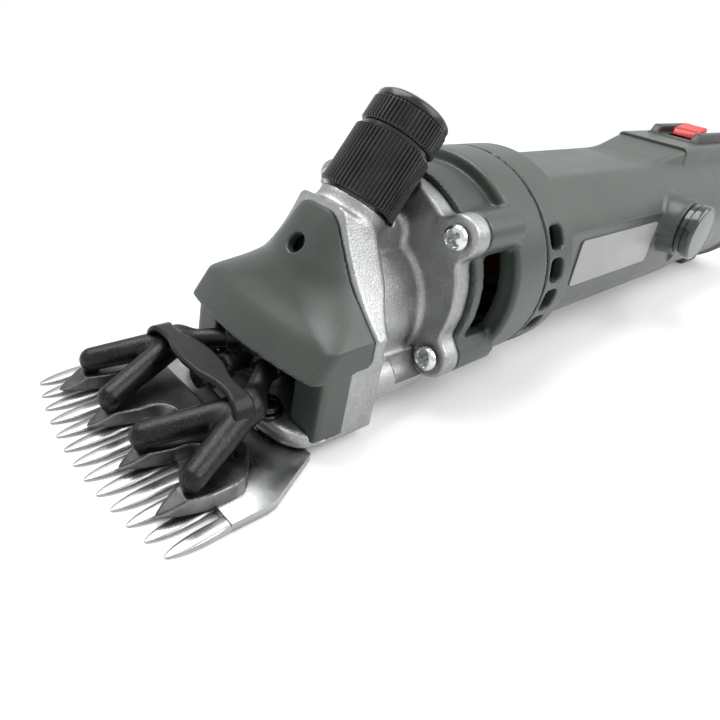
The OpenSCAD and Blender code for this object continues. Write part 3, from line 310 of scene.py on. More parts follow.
@dataclass(frozen=True)
class Clay:
    """A solid held as a field: the distance to its surface in millimetres, negative inside."""

    field: Callable[[Points], np.ndarray]

    def join(self, other: "Clay", blend: float = 0.0) -> "Clay":
        """Adds another solid, with a fillet of about that size."""
        return Clay(lambda p: soft_min(self.field(p), other.field(p), blend))

    def cut(self, other: "Clay", blend: float = 0.0) -> "Clay":
        """Takes another solid away, with a rounded edge of about that size."""
        return Clay(lambda p: -soft_min(-self.field(p), other.field(p), blend))

    def meet(self, other: "Clay", blend: float = 0.0) -> "Clay":
        """Keeps what both solids share, with a rounded edge of about that size."""
        return Clay(lambda p: -soft_min(-self.field(p), -other.field(p), blend))

    def mirrored(self) -> "Clay":
        """Makes both sides like the side where y is positive."""
        return Clay(lambda p: self.field(np.column_stack([p[:, 0], np.abs(p[:, 1]), p[:, 2]])))

    @staticmethod
    def block(low: Sequence[float], high: Sequence[float], edge: float = 0.0) -> "Clay":
        """A box with rounded edges.

        Args:
            low: Lowest corner.
            high: Highest corner.
            edge: Radius of its edges.

        Returns:
            The solid.
        """
        a, b = np.asarray(low, float), np.asarray(high, float)
        middle, half = (a + b) / 2, (b - a) / 2 - edge

        def distance(p: Points) -> np.ndarray:
            """Distance to the box."""
            q = np.abs(p - middle) - half
            return np.sqrt((np.maximum(q, 0) ** 2).sum(1)) + np.minimum(q.max(1), 0) - edge

        return Clay(distance)

    @staticmethod
    def drum(start: Sequence[float], end: Sequence[float], radius: float, edge: float = 0.0) -> "Clay":
        """A cylinder with rounded rims.

        Args:
            start: Middle of one end.
            end: Middle of the other end.
            radius: Its radius.
            edge: Radius of its rims.

        Returns:
            The solid.
        """
        a, b = np.asarray(start, float), np.asarray(end, float)
        length = float(np.linalg.norm(b - a))
        way = (b - a) / length

        def distance(p: Points) -> np.ndarray:
            """Distance to the cylinder."""
            along = (p - a) @ way
            out = np.sqrt(np.maximum(((p - a) ** 2).sum(1) - along**2, 0)) - radius + edge
            past = np.abs(along - length / 2) - length / 2 + edge
            return np.hypot(np.maximum(out, 0), np.maximum(past, 0)) + np.minimum(np.maximum(out, past), 0) - edge

        return Clay(distance)

    @staticmethod
    def run(start_x: float, end_x: float, radius: float, edge: float = 0.0, y: float = 0.0, z: float = 0.0) -> "Clay":
        """A cylinder along x at the given y and z."""
        return Clay.drum((start_x, y, z), (end_x, y, z), radius, edge)

    @staticmethod
    def rod(start: Sequence[float], end: Sequence[float], first: float, last: float) -> "Clay":
        """A bar with round ends.

        Args:
            start: Centre of one end.
            end: Centre of the other end.
            first: Radius at the start.
            last: Radius at the end.

        Returns:
            The solid.
        """
        a, b = np.asarray(start, float), np.asarray(end, float)
        span = b - a

        def distance(p: Points) -> np.ndarray:
            """Distance to the bar."""
            t = np.clip((p - a) @ span / (span @ span), 0, 1)
            return np.sqrt(((p - a - t[:, None] * span) ** 2).sum(1)) - first - (last - first) * t

        return Clay(distance)

    def slope(self, p: Points) -> Points:
        """Outward direction of the field at some points.

        Args:
            p: The points.

        Returns:
            One gradient for each point.
        """
        steps = np.eye(3) * 0.04
        return np.column_stack([(self.field(p + s) - self.field(p - s)) / 0.08 for s in steps])

    def skin(self, low: Sequence[float], high: Sequence[float], step: float) -> tuple[Points, np.ndarray]:
        """Meshes the surface with one point in each grid cell that it crosses.

        Args:
            low: Lowest corner of the space to search.
            high: Highest corner.
            step: Grid step in millimetres.

        Returns:
            Points that lie on the surface, and quads that face outwards.
        """
        axes = [np.arange(a - step, b + 2 * step, step) for a, b in zip(low, high)]
        grid = np.stack(np.meshgrid(*axes, indexing="ij"), -1)
        shape = grid.shape[:3]
        value = np.concatenate([self.field(part) for part in np.array_split(grid.reshape(-1, 3), 8)]).reshape(shape)
        solid = value < 0
        corners = [(i, j, k) for i in (0, 1) for j in (0, 1) for k in (0, 1)]
        count = sum(solid[i : shape[0] - 1 + i, j : shape[1] - 1 + j, k : shape[2] - 1 + k].astype(np.int8) for i, j,
                    k in corners)
        live = (count > 0) & (count < 8)
        number = np.full(shape, -1)
        number[:-1, :-1, :-1][live] = np.arange(int(live.sum()))
        cell = np.argwhere(live)
        total, hits = np.zeros((len(cell), 3)), np.zeros(len(cell))
        for corner in corners:
            for axis in range(3):
                if corner[axis]:
                    continue
                other = tuple(1 if n == axis else c for n, c in enumerate(corner))
                a, b = value[tuple((cell + corner).T)], value[tuple((cell + other).T)]
                cross = (a < 0) != (b < 0)
                at = cell + np.array(corner, float)
                at[:, axis] += np.where(cross, a / np.where(cross, a - b, 1), 0)
                total += np.where(cross[:, None], at, 0)
                hits += cross
        points = np.array([ax[0] for ax in axes]) + step * total / hits[:, None]
        quads = []
        for axis in range(3):
            u, v = np.eye(3, dtype=int)[(axis + 1) % 3], np.eye(3, dtype=int)[(axis + 2) % 3]
            ahead = np.roll(solid, -1, axis)
            change = (solid != ahead) & (np.indices(shape)[axis] < shape[axis] - 1)
            g = np.argwhere(change)
            g = g[((g * (u + v)).sum(1) > 0) & ((g * u).sum(1) > 0) & ((g * v).sum(1) > 0)]
            quad = np.column_stack([number[tuple(q.T)] for q in (g, g - u, g - u - v, g - v)])
            out = solid[tuple(g.T)]
            quads.append(np.where(out[:, None], quad, quad[:, ::-1]))
        for _ in range(4):
            way = self.slope(points)
            move = self.field(points) / np.maximum((way**2).sum(1), 0.2)
            points -= np.clip(move, -step / 2, step / 2)[:, None] * way
        faces = np.concatenate(quads)
        return points, faces[(faces >= 0).all(1)]

    def piece(self, name: str, low: Sequence[float], high: Sequence[float], step: float, finish: Finish,
              soft_deg: float = 60.0) -> bpy.types.Object:
        """Meshes the surface as one piece; the arguments are those of skin and make_piece."""
        return make_piece(name, *self.skin(low, high, step), [finish], soft_deg)

    def reach(self, x: float) -> np.ndarray:
        """Outer radius of the solid round the motor axis.

        Args:
            x: Where along the axis.

        Returns:
            The outer radius in each direction of ROUND.
        """
        near, far = np.full(len(ROUND), 1.0), np.full(len(ROUND), OUTSIDE_R)
        for _ in range(34):
            middle = (near + far) / 2
            inside = self.field(ring_at(x, middle)) < 0
            near, far = np.where(inside, middle, near), np.where(inside, far, middle)
        return (near + far) / 2


def ring_at(x: float, radius: np.ndarray | float) -> Points:
    """One ring of points round the motor axis, in the directions of ROUND."""
    return np.column_stack([np.full(len(ROUND), x), radius * np.cos(ROUND), radius * np.sin(ROUND)])


def segment_gap(u: np.ndarray, v: np.ndarray, a: Sequence[float], b: Sequence[float]) -> np.ndarray:
    """Distance from points in a plane to a straight line between two others.

    Args:
        u: First coordinate of the points.
        v: Second coordinate.
        a: One end of the line.
        b: Its other end.

    Returns:
        One distance for each point.
    """
    du, dv = b[0] - a[0], b[1] - a[1]
    t = np.clip(((u - a[0]) * du + (v - a[1]) * dv) / max(du**2 + dv**2, 1e-9), 0, 1)
    return np.hypot(u - a[0] - t * du, v - a[1] - t * dv)


def to_row(points: Points) -> Points:
    """Turns millimetres in the shears' axes into metres in the row frame."""
    return np.asarray(points, float) / 1000 + ORIGIN


def make_piece(name: str, points: Points, faces: Faces, finishes: Sequence[Finish], soft_deg: float = 38.0,
               local: bool = False) -> bpy.types.Object:
    """Makes one mesh object at the origin.

    Args:
        name: Name of the piece.
        points: Corners in millimetres in the shears' axes.
        faces: Corner numbers of each face.
        finishes: The finishes it takes; faces start with the first.
        soft_deg: Edges that turn less than this shade smoothly.
        local: True for a shape round its own zero, to be set in place later.

    Returns:
        The new object.
    """
    mesh = bpy.data.meshes.new(name)
    placed = np.asarray(points, float) / 1000 if local else to_row(points)
    mesh.from_pydata(placed.tolist(), [], [list(map(int, f)) for f in faces])
    mesh.validate()
    for finish in finishes:
        mesh.materials.append(finish.material())
    mesh.shade_smooth()
    mesh.set_sharp_from_angle(angle=math.radians(soft_deg))
    piece = bpy.data.objects.new(name, mesh)
    bpy.context.scene.collection.objects.link(piece)
    return piece


def bake(piece: bpy.types.Object) -> bpy.types.Object:
    """Turns a piece's modifiers into plain mesh.

    Args:
        piece: The object whose modifiers are done.

    Returns:
        The same object with a plain mesh and no modifiers.
    """
    bpy.context.view_layer.update()
    result = bpy.data.meshes.new_from_object(piece.evaluated_get(bpy.context.evaluated_depsgraph_get()))
    piece.modifiers.clear()
    result.name = piece.name
    piece.data = result
    return piece


def bevel(piece: bpy.types.Object, width_mm: float, segments: int = 3, angle_deg: float = 35.0) -> bpy.types.Object:
    """Rounds a piece's sharp edges and bakes the result.

    Args:
        piece: The object to round.
        width_mm: Width of the rounding.
        segments: Steps across it.
        angle_deg: Edges that turn more than this are rounded.

    Returns:
        The same object.
    """
    tool = piece.modifiers.new("edges", "BEVEL")
    tool.width, tool.segments, tool.harden_normals = width_mm / 1000, segments, False
    tool.limit_method, tool.angle_limit = "ANGLE", math.radians(angle_deg)
    bake(piece)
    piece.data.shade_smooth()
    piece.data.set_sharp_from_angle(angle=math.radians(30))
    return piece


def rings(loops: Sequence[Points], closed: bool = False) -> tuple[Points, list[list[int]]]:
    """Joins rings of points into a skin.

    Args:
        loops: Rings with the same number of points each.
        closed: True to join the last ring to the first; otherwise both ends get a cap.

    Returns:
        Points and faces.
    """
    n, m = len(loops[0]), len(loops)
    faces = [[a * n + i, a * n + (i + 1) % n, (a + 1) % m * n + (i + 1) % n, (a + 1) % m * n + i]
             for a in range(m if closed else m - 1) for i in range(n)]
    if not closed:
        faces += [list(range(n))[::-1], [(m - 1) * n + i for i in range(n)]]
    return np.concatenate(loops), faces


def lathe(profile: Sequence[tuple[float, float]], count: int = 96) -> tuple[Points, list[list[int]]]:
    """Turns a closed profile round the z axis.

    Args:
        profile: Pairs of height and radius.
        count: Steps round the axis.

    Returns:
        Points and faces.
    """
    turn = np.linspace(0, 2 * math.pi, count, endpoint=False)
    loops = [np.column_stack([r * np.cos(turn), r * np.sin(turn), np.full(count, z)]) for z, r in profile]
    return rings(loops, closed=True)


def prism(outline: Sequence[tuple[float, float]], low: float, high: float,
          axis: int = 2) -> tuple[Points, list[list[int]]]:
    """Extrudes an outline along an axis.

    Args:
        outline: Corners in the two other axes, in x, y, z order.
        low: Start along the axis.
        high: End along the axis.
        axis: 0, 1 or 2.

    Returns:
        Points and faces.
    """
    flat = np.asarray(outline, float)
    loops = [np.insert(flat, axis, level, axis=1) for level in (low, high)]
    return rings(loops)


def outward(piece: bpy.types.Object) -> bpy.types.Object:
    """Merges doubled points and turns every face outwards.

    Args:
        piece: The object to clean.

    Returns:
        The same object.
    """
    shape = bmesh.new()
    shape.from_mesh(piece.data)
    bmesh.ops.remove_doubles(shape, verts=shape.verts, dist=1e-7)
    bmesh.ops.recalc_face_normals(shape, faces=shape.faces)
    shape.to_mesh(piece.data)
    shape.free()
    return piece


def lathed(name: str, profile: Sequence[tuple[float, float]], count: int, finish: Finish) -> bpy.types.Object:
    """Makes a turned piece round its own z axis, to be set in place later."""
    return outward(make_piece(name, *lathe(profile, count), [finish], 30, local=True))


def slab(name: str, outline: Sequence[tuple[float, float]], low: float, high: float, finish: Finish,
         axis: int = 1) -> bpy.types.Object:
    """Makes a piece by extruding an outline; the arguments are those of prism."""
    return outward(make_piece(name, *prism(outline, low, high, axis), [finish]))


def oblong(start_x: float, end_x: float, low: float, high: float) -> list[tuple[float, float]]:
    """Corners of a rectangle, in order round it."""
    return [(start_x, low), (end_x, low), (end_x, high), (start_x, high)]


def carve(target: bpy.types.Object, shape: bpy.types.Object) -> None:
    """Cuts a shape out of a piece and removes the shape.

    Args:
        target: The piece that is cut.
        shape: A closed object that is used up.
    """
    tool = target.modifiers.new("opening", "BOOLEAN")
    tool.object, tool.operation, tool.solver = shape, "DIFFERENCE", "EXACT"
    bake(target)
    bpy.data.objects.remove(shape)


def fit(piece: bpy.types.Object, body: str, slot: str, *nodes: str) -> bpy.types.Object:
    """Puts a finished piece on its body and in place of its CAD nodes.

    Args:
        piece: The finished object.
        body: The body that it moves with.
        slot: The record's material slot; not used.
        nodes: The CAD nodes that it stands for.

    Returns:
        The same object.
    """
    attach(piece, body)
    if nodes:
        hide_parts(*nodes)
    LOG.info("%s: %d faces on %s", piece.name, len(piece.data.polygons), body)
    return piece


class Pattern(Enum):
    """How copies of a small shape are set out."""

    RING = "round the z axis"
    ROW = "in a row across, bowed back at both ends"
    POINTS = "one on each point of the core"


@dataclass
class Repeat:
    """Geometry Nodes that set out copies of a shape and join them to a core."""

    name: str
    pattern: Pattern
    finish: Finish
    count: int = 1
    spacing_mm: float = 0.0
    bow_mm: float = 1.0

    def _spread(self, tree: bpy.types.NodeTree,
                given: bpy.types.Node) -> tuple[bpy.types.NodeSocket, bpy.types.NodeSocket | tuple]:
        """Adds the nodes that lay out the points.

        Args:
            tree: The geometry tree.
            given: Its group input node.

        Returns:
            The points, and the turn of each copy.
        """
        if self.pattern is Pattern.POINTS:
            return given.outputs["Core"], (0.0, 0.0, 0.0)
        if self.pattern is Pattern.RING:
            circle = add_node(tree, "GeometryNodeMeshCircle",
                              {"Vertices": given.outputs["Count"], "Radius": given.outputs["Spacing"]})
            part = add_node(tree, "ShaderNodeMath", {0: add_node(tree, "GeometryNodeInputIndex").outputs[0],
                                                     1: given.outputs["Count"]}, operation="DIVIDE")
            angle = add_node(tree, "ShaderNodeMath", {0: part.outputs[0], 1: 2 * math.pi}, operation="MULTIPLY")
            turn = add_node(tree, "ShaderNodeCombineXYZ", {"Z": angle.outputs[0]})
            return circle.outputs[0], turn.outputs[0]
        last = add_node(tree, "ShaderNodeMath", {0: given.outputs["Count"], 1: 1.0}, operation="SUBTRACT")
        half = add_node(tree, "ShaderNodeMath", {0: last.outputs[0], 1: -0.5}, operation="MULTIPLY")
        first = add_node(tree, "ShaderNodeMath", {0: half.outputs[0], 1: given.outputs["Spacing"]},
                         operation="MULTIPLY")
        line = add_node(tree, "GeometryNodeMeshLine", {
            "Count": given.outputs["Count"],
            "Start Location": add_node(tree, "ShaderNodeCombineXYZ", {"Y": first.outputs[0]}).outputs[0],
            "Offset": add_node(tree, "ShaderNodeCombineXYZ", {"Y": given.outputs["Spacing"]}).outputs[0]})
        across = add_node(tree, "ShaderNodeSeparateXYZ",
                          {0: add_node(tree, "GeometryNodeInputPosition").outputs[0]}).outputs["Y"]
        square = add_node(tree, "ShaderNodeMath", {0: across, 1: across}, operation="MULTIPLY")
        double = add_node(tree, "ShaderNodeMath", {0: given.outputs["Bow radius"], 1: 2.0}, operation="MULTIPLY")
        back = add_node(tree, "ShaderNodeMath", {0: square.outputs[0], 1: double.outputs[0]}, operation="DIVIDE")
        bowed = add_node(tree, "GeometryNodeSetPosition", {
            "Geometry": line.outputs[0],
            "Offset": add_node(tree, "ShaderNodeCombineXYZ", {"X": back.outputs[0]}).outputs[0]})
        return bowed.outputs[0], (0.0, 0.0, 0.0)

    def build(self, core: bpy.types.Object, shape: bpy.types.Object) -> bpy.types.Object:
        """Joins the copies to the core and removes the pattern shape.

        Args:
            core: The object that gets the copies.
            shape: The shape to repeat.

        Returns:
            The core as one plain mesh.
        """
        tree = bpy.data.node_groups.new(self.name, "GeometryNodeTree")
        for label, kind in (("Core", "NodeSocketGeometry"), ("Shape", "NodeSocketObject"), ("Count", "NodeSocketInt"),
                            ("Spacing", "NodeSocketFloat"), ("Bow radius", "NodeSocketFloat")):
            tree.interface.new_socket(label, in_out="INPUT", socket_type=kind)
        tree.interface.new_socket("Result", in_out="OUTPUT", socket_type="NodeSocketGeometry")
        given = add_node(tree, "NodeGroupInput")
        points, turn = self._spread(tree, given)
        copy = add_node(tree, "GeometryNodeObjectInfo", {"Object": given.outputs["Shape"]})
        copies = add_node(tree, "GeometryNodeInstanceOnPoints", {"Points": points, "Instance": copy.outputs["Geometry"],
                                                                 "Rotation": turn})
        together = add_node(tree, "GeometryNodeJoinGeometry", {0: copies.outputs[0]})
        if self.pattern is not Pattern.POINTS:
            tree.links.new(given.outputs["Core"], together.inputs[0])
        real = add_node(tree, "GeometryNodeRealizeInstances", {0: together.outputs[0]})
        dressed = add_node(tree, "GeometryNodeSetMaterial",
                           {"Geometry": real.outputs[0], "Material": self.finish.material()})
        add_node(tree, "NodeGroupOutput", {0: dressed.outputs[0]})
        tool = core.modifiers.new("copies", "NODES")
        tool.node_group = tree
        values = {"Shape": shape, "Count": self.count, "Spacing": self.spacing_mm / 1000,
                  "Bow radius": self.bow_mm / 1000}
        for item in tree.interface.items_tree:
            if item.in_out == "INPUT" and item.name in values:
                tool[item.identifier] = values[item.name]
        bake(core)
        bpy.data.objects.remove(shape)
        return core


def set_in_place(piece: bpy.types.Object, where: Matrix) -> bpy.types.Object:
    """Moves a piece's mesh to its place, with the object left at the origin."""
    piece.data.transform(where)
    return piece


def row_place(x: float, y: float, z: float) -> Matrix:
    """Matrix that carries a local shape to a point given in the shears' axes."""
    return Matrix.Translation(Vector(to_row(np.array([x, y, z]))))


def cross_head(radius: float, height: float, shank: float) -> tuple[Points, list[list[int]]]:
    """Pan head with a cross recess; its flat side is at z = 0 and the shank goes below.

    Args:
        radius: Head radius.
        height: Height of the crown.
        shank: Length of shank under the head.

    Returns:
        Points and faces.
    """
    count, steps = 48, np.linspace(1.0, 0.0, 18)[:-1]
    turn = np.linspace(0, 2 * math.pi, count, endpoint=False)
    neck = 0.45 * radius
    loops = [np.column_stack([neck * np.cos(turn), neck * np.sin(turn), np.full(count, z)]) for z in (-shank, 0)]
    for s in steps:
        x, y = radius * s * np.cos(turn), radius * s * np.sin(turn)
        crown = height * (1 - s**4 * 0.35) * min(1.0, (1.02 - s) * 9 + 0.25)
        arm = np.minimum(np.abs(x + y), np.abs(x - y)) / math.sqrt(2)
        deep = np.clip((0.17 * radius - arm) / 0.25, 0, 1) * np.clip((0.66 * radius - radius * s) / 0.3, 0, 1)
        loops.append(np.column_stack([x, y, crown - 0.62 * height * deep]))
    return rings(loops)


@dataclass
class Comb:
    """Fixed comb: ground teeth on a flat plate, and the two screws that hold it."""

    teeth: int = 13
    pitch: float = 5.99
    tooth_l: float = 24.0
    bow_r: float = 131.7
    under: float = -36.9
    thick: float = 2.6
    screw: tuple[float, float] = (46.8, 13.0)
    slot_r: float = 2.7
    washer_z: float = -29.0

    def _tooth(self) -> bpy.types.Object:
        """Makes one leaf-shaped tooth with a crowned top.

        Returns:
            The tooth, its tip at the local zero.
        """
        at = np.array([0, 0.5, 1.5, 3, 5, 8, 12, 16, 20, self.tooth_l])
        half = np.array([0.35, 0.75, 1.15, 1.55, 1.9, 2.12, 2.1, 1.98, 1.85, 1.8])
        top = np.array([0.35, 0.5, 0.72, 0.95, 1.2, 1.55, 1.9, 2.2, 2.42, 2.5])
        loops = []
        for x, h, t in zip(at, half, top):
            across = h * np.array([-1, -0.97, -0.84, -0.5, 0, 0.5, 0.84, 0.97, 1, 0.8, -0.8])
            up = t * np.array([0.15, 0.62, 0.9, 0.98, 1.0, 0.98, 0.9, 0.62, 0.15, 0, 0])
            loops.append(np.column_stack([np.full(11, x), across, up]))
        return outward(make_piece("comb_tooth", *rings(loops), [GROUND_STEEL], 50, local=True))

    def _plate(self) -> bpy.types.Object:
        """Makes the plate behind the teeth, with its two screw slots.

        Returns:
            The local plate, its underside at z = 0.
        """
        x, y = self.screw
        rear, r = 51, self.slot_r
        half = [(20.2, 37.95), (30.4, 38.0), (33.2, 37.5), (35.4, 36.4), (rear, 28.8), (rear, y + r)]
        arc = [(x - r * math.cos(a), y + r * math.sin(a)) for a in np.linspace(math.pi / 2, -math.pi / 2, 12)]
        side = half + arc + [(rear, y - r)]
        outline = side + [(x, -y) for x, y in reversed(side)]
        piece = outward(make_piece("comb", *prism(outline, 0, self.thick), [GROUND_STEEL], local=True))
        return bevel(piece, 0.3, 2)

    def build(self) -> None:
        """Builds the comb and its screws."""
        row = Repeat("comb_teeth", Pattern.ROW, GROUND_STEEL, self.teeth, self.pitch, self.bow_r)
        comb = row.build(self._plate(), self._tooth())
        fit(set_in_place(comb, row_place(0, 0, self.under)), "frame", "comb_steel", "comb")
        x, y = self.screw
        corners = make_piece("comb_screws", [(0, -y, 0), (0, y, 0)], [], [BLACKED_TURNING], local=True)
        washer = outward(make_piece("washer_screw", *self._washer_screw(), [BLACKED_TURNING], 35, local=True))
        screws = Repeat("comb_screw_pair", Pattern.POINTS, BLACKED_TURNING).build(corners, washer)
        fit(set_in_place(screws, row_place(x, 0, self.washer_z)), "frame", "black_screw", "comb_screw_left",
            "comb_screw_right")

    def _washer_screw(self) -> tuple[Points, list[list[int]]]:
        """Shape of one comb screw: a washer with a cross head on it.

        Returns:
            Points and faces.
        """
        points, faces = cross_head(4.2, 2.4, 7.2)
        points = points + np.array([0, 0, 1.0])
        ring, more = lathe([(0, 2.4), (0, 5.0), (0.7, 5.0), (1.0, 4.7), (1.0, 2.4)], 48)
        return np.concatenate([points, ring]), faces + [[i + len(points) for i in f] for f in more]


@dataclass
class ForkSet:
    """Cutter, the two feet that drive it, their clip, and the fork."""

    low: float = -34.22
    thick: float = 3.8
    flank: float = 0.62
    tip_x: float = 7.0
    apex: tuple[float, float, float] = (37.0, 18.0, -21.27)
    eye: tuple[float, float, float] = (60.0, 0.0, -16.0)
    outer: tuple[float, float, float] = (16.0, 27.4, -26.77)
    inner: tuple[float, float, float] = (13.0, 8.8, -26.77)
    clip_x: float = 33.0
    clip_z: float = -16.1

    def _outline(self) -> np.ndarray:
        """Plan of the cutter at its cutting face, with a curved beak for each tooth.

        Returns:
            Corners in x and y, in order round the plate.
        """
        beak = [(19.0, 4.75), (16.0, 4.1), (12.5, 3.1), (9.5, 1.9), (7.6, 0.85), (7.0, 0.25)]
        side = [(36.0, 12.0), (36.0, 20.5), (35.2, 22.9), (33.0, 26.0), (30.6, 29.3), (28.6, 31.0), (26.0, 31.8),
                (22.5, 31.9)]
        line = side + [(x, 27.2 + y) for x, y in beak] + [(x, 27.2 - y) for x, y in reversed(beak)]
        for middle in (18.14, 0.0):
            turn = np.linspace(math.pi / 2, -math.pi / 2, 15) if middle else np.linspace(math.pi / 2, 0, 8)
            line += [(21.4 + 5.2 * math.cos(a), middle + 4.4 * math.sin(a)) for a in turn]
            if middle:
                line += [(x, 9.07 + y) for x, y in beak] + [(x, 9.07 - y) for x, y in reversed(beak)]
        line = line[:-1] + [(26.6, 0.0)] + [(x, -y) for x, y in reversed(line[:-1])]
        return np.array(line)

    def cutter(self) -> bpy.types.Object:
        """Builds the cutter with ground flanks and a dark top.

        Returns:
            The finished piece.
        """
        plan = self._outline()
        ends = np.roll(plan, -1, 0)

        def distance(p: Points) -> np.ndarray:
            """Distance to the ground plate: flanks lean in, and each beak falls away to its tip."""
            x, y = p[:, 0], p[:, 1]
            near, inside = np.full(len(p), 99.0), np.zeros(len(p), bool)
            for (ax, ay), (bx, by) in zip(plan, ends):
                near = np.minimum(near, segment_gap(x, y, (ax, ay), (bx, by)))
                if ay != by:
                    inside ^= ((ay > y) != (by > y)) & (x < ax + (y - ay) * (bx - ax) / (by - ay))
            rise = p[:, 2] - self.low
            edge = np.where(inside, -near, near) + self.flank * np.clip(rise / self.thick, 0, 1)
            return np.maximum(-soft_min(-edge, -(rise - self._height(x)) * 0.92, 0.45), -rise)

        shape = Clay(distance).cut(Clay.drum((29.7, 21.5, -40), (29.7, 21.5, -20), 2.2).mirrored(), 0.25)
        points, faces = shape.skin((6.4, -32.6, self.low - 0.3), (36.6, 32.6, self.low + self.thick + 0.3), 0.42)
        piece = make_piece("cutter", points, faces, [FLANK_STEEL, HARDENED_STEEL], 50)
        middle = points[faces].mean(1)
        dark = middle[:, 2] - self.low > self._height(middle[:, 0]) - 0.16
        piece.data.polygons.foreach_set("material_index", dark.astype(np.int32))
        return piece

    def _shank_way(self) -> np.ndarray:
        """Unit vector from a foot's knuckle to the fork's pivot."""
        span = np.array(self.eye) - np.array(self.apex)
        return span / np.linalg.norm(span)

    def _height(self, x: np.ndarray) -> np.ndarray:
        """Height of the cutter's top over its cutting face, falling away along each beak."""
        return np.clip(0.55 + (x - self.tip_x) * 0.5, 0.4, self.thick)

    def foot(self) -> Clay:
        """Shape of one foot: two fingers, their contact pips, the knuckle and the shank.

        Returns:
            The foot on the side where y is positive.
        """
        apex, way = np.array(self.apex), self._shank_way()
        shape = Clay.rod(apex, self.outer, 4.0, 3.25).join(Clay.rod(apex, self.inner, 4.0, 3.25), 2.2)
        for tip in (self.outer, self.inner):
            shape = shape.join(Clay.drum((*tip[:2], -30.36), (*tip[:2], -27.0), 1.9, 0.3), 1.2)
        return shape.join(Clay.rod(apex, apex + way * 18.5, 3.1, 3.0), 2.5)

    def clip(self) -> Clay:
        """Shape of the clip: a bow strip that curls down over the outer side of both feet.

        Returns:
            The strip with its tab for the screw.
        """
        half = smooth_curve((0, 6, 12, 17, 20, 24), (4.6, 4.1, 2.4, 2.3, 2.9, 3.0))
        arch, curl = 17.5, 4.6
        bend = [(arch + curl * math.sin(a), self.clip_z - curl + curl * math.cos(a)) for a in np.linspace(0.2, 1.75, 9)]
        crest = [(y, self.clip_z + 0.5 * math.cos(y / arch * 1.57)) for y in np.linspace(0, arch, 8)]
        path = np.array(crest + bend)

        def distance(p: Points) -> np.ndarray:
            """Distance to the strip."""
            y, z = np.abs(p[:, 1]), p[:, 2]
            far = np.full(len(p), 99.0)
            for a, b in zip(path[:-1], path[1:]):
                far = np.minimum(far, segment_gap(y, z, a, b))
            side = np.abs(p[:, 0] - self.clip_x + 0.4) - half(np.minimum(y, 23.0))
            return -soft_min(-(far - 0.95), -side, 0.7)

        tab = Clay.block((self.clip_x + 1.8, -4, -24.4), (self.clip_x + 3.6, 4, -15.6), 0.6)
        return Clay(distance).join(tab, 1.0).cut(Clay.run(self.clip_x, self.clip_x + 6, 2.25, z=CLIP_SCREW_Z))

    def fork(self) -> Clay:
        """Shape of the fork: hub, two foot sockets, front boss and rear yoke.

        Returns:
            The fork with its bores cut.
        """
        eye, way = np.array(self.eye), self._shank_way()
        shape = Clay.drum((60, 0, -24.35), (60, 0, -9.5), 8.5, 0.8)
        shape = shape.join(Clay.drum(eye - way * 15.5, eye, 4.4, 0.7).mirrored(), 1.5)
        shape = shape.join(Clay.run(48.5, 53, 4.6, 0.6, z=CLIP_SCREW_Z), 1.0)
        shape = shape.join(Clay.block((60, -12.9, -24.3), (71, 12.9, -12.1), 1.0), 1.5)
        shape = shape.join(Clay.block((70, 9.97, -24.3), (82, 12.97, -12.1), 0.8).mirrored(), 0.8)
        shape = shape.cut(Clay.drum((60, 0, -26), (60, 0, -18), 4.06))
        shape = shape.cut(Clay.drum((60, 0, -8.5), (60, 0, -4), 3.35, 0))
        shape = shape.cut(Clay.rod((60, 0, -8.5), (60, 0, -8.4), 3.3, 3.3))
        shape = shape.cut(Clay.drum(eye - way * 16.5, eye - way * 9.8, 3.1).mirrored())
        shape = shape.cut(Clay.run(47, 52.4, 2.25, z=CLIP_SCREW_Z))
        return shape.cut(Clay.block((71, -9.97, -30), (90, 9.97, -5), 0.3), 0.3)

    def build(self) -> None:
        """Builds the whole set on the swinging body."""
        fit(self.cutter(), "fork_set", "cutter_steel", "cutter")
        points, faces = self.foot().skin((7, 3, -32), (54, 33, -12), 0.5)
        for name, corners, order in (("foot_right", points, faces), ("foot_left", points * (1, -1, 1), faces[:, ::-1])):
            fit(make_piece(name, corners, order, [BLACK_FORGING], 60), "fork_set", "foot_steel", name)
        clip = self.clip().piece("retaining_clip", (27, -24, -25), (39, 24, -14), 0.42, BLACK_SPRING)
        fit(clip, "fork_set", "clip_steel", "retaining_clip")
        fork = self.fork().piece("fork", (44, -14, -26), (83, 14, -8), 0.6, BLACK_FORGING, 45)
        fit(fork, "fork_set", "fork_steel", "fork")
        profile = [(-4, 0.2), (-4, 3.6), (-1.8, 3.6), (-1.8, 2.2), (0.0, 2.2), (0.0, 3.4), (0.3, 3.8), (1.7, 3.8),
                   (2.0, 3.4), (2.0, 2.4), (3.6, 2.4), (3.6, 3.4), (3.9, 3.8), (5.3, 3.8), (5.6, 3.4), (5.6, 2.2),
                   (16, 2.2), (16, 0.2)]
        screw = lathed("clip_screw", profile, 48, BLACKED_TURNING)
        set_in_place(screw, row_place(self.clip_x + 3.6, 0, CLIP_SCREW_Z) @ Matrix.Rotation(math.pi / 2, 4, "Y"))
        fit(screw, "fork_set", "bright_screw", "clip_screw")


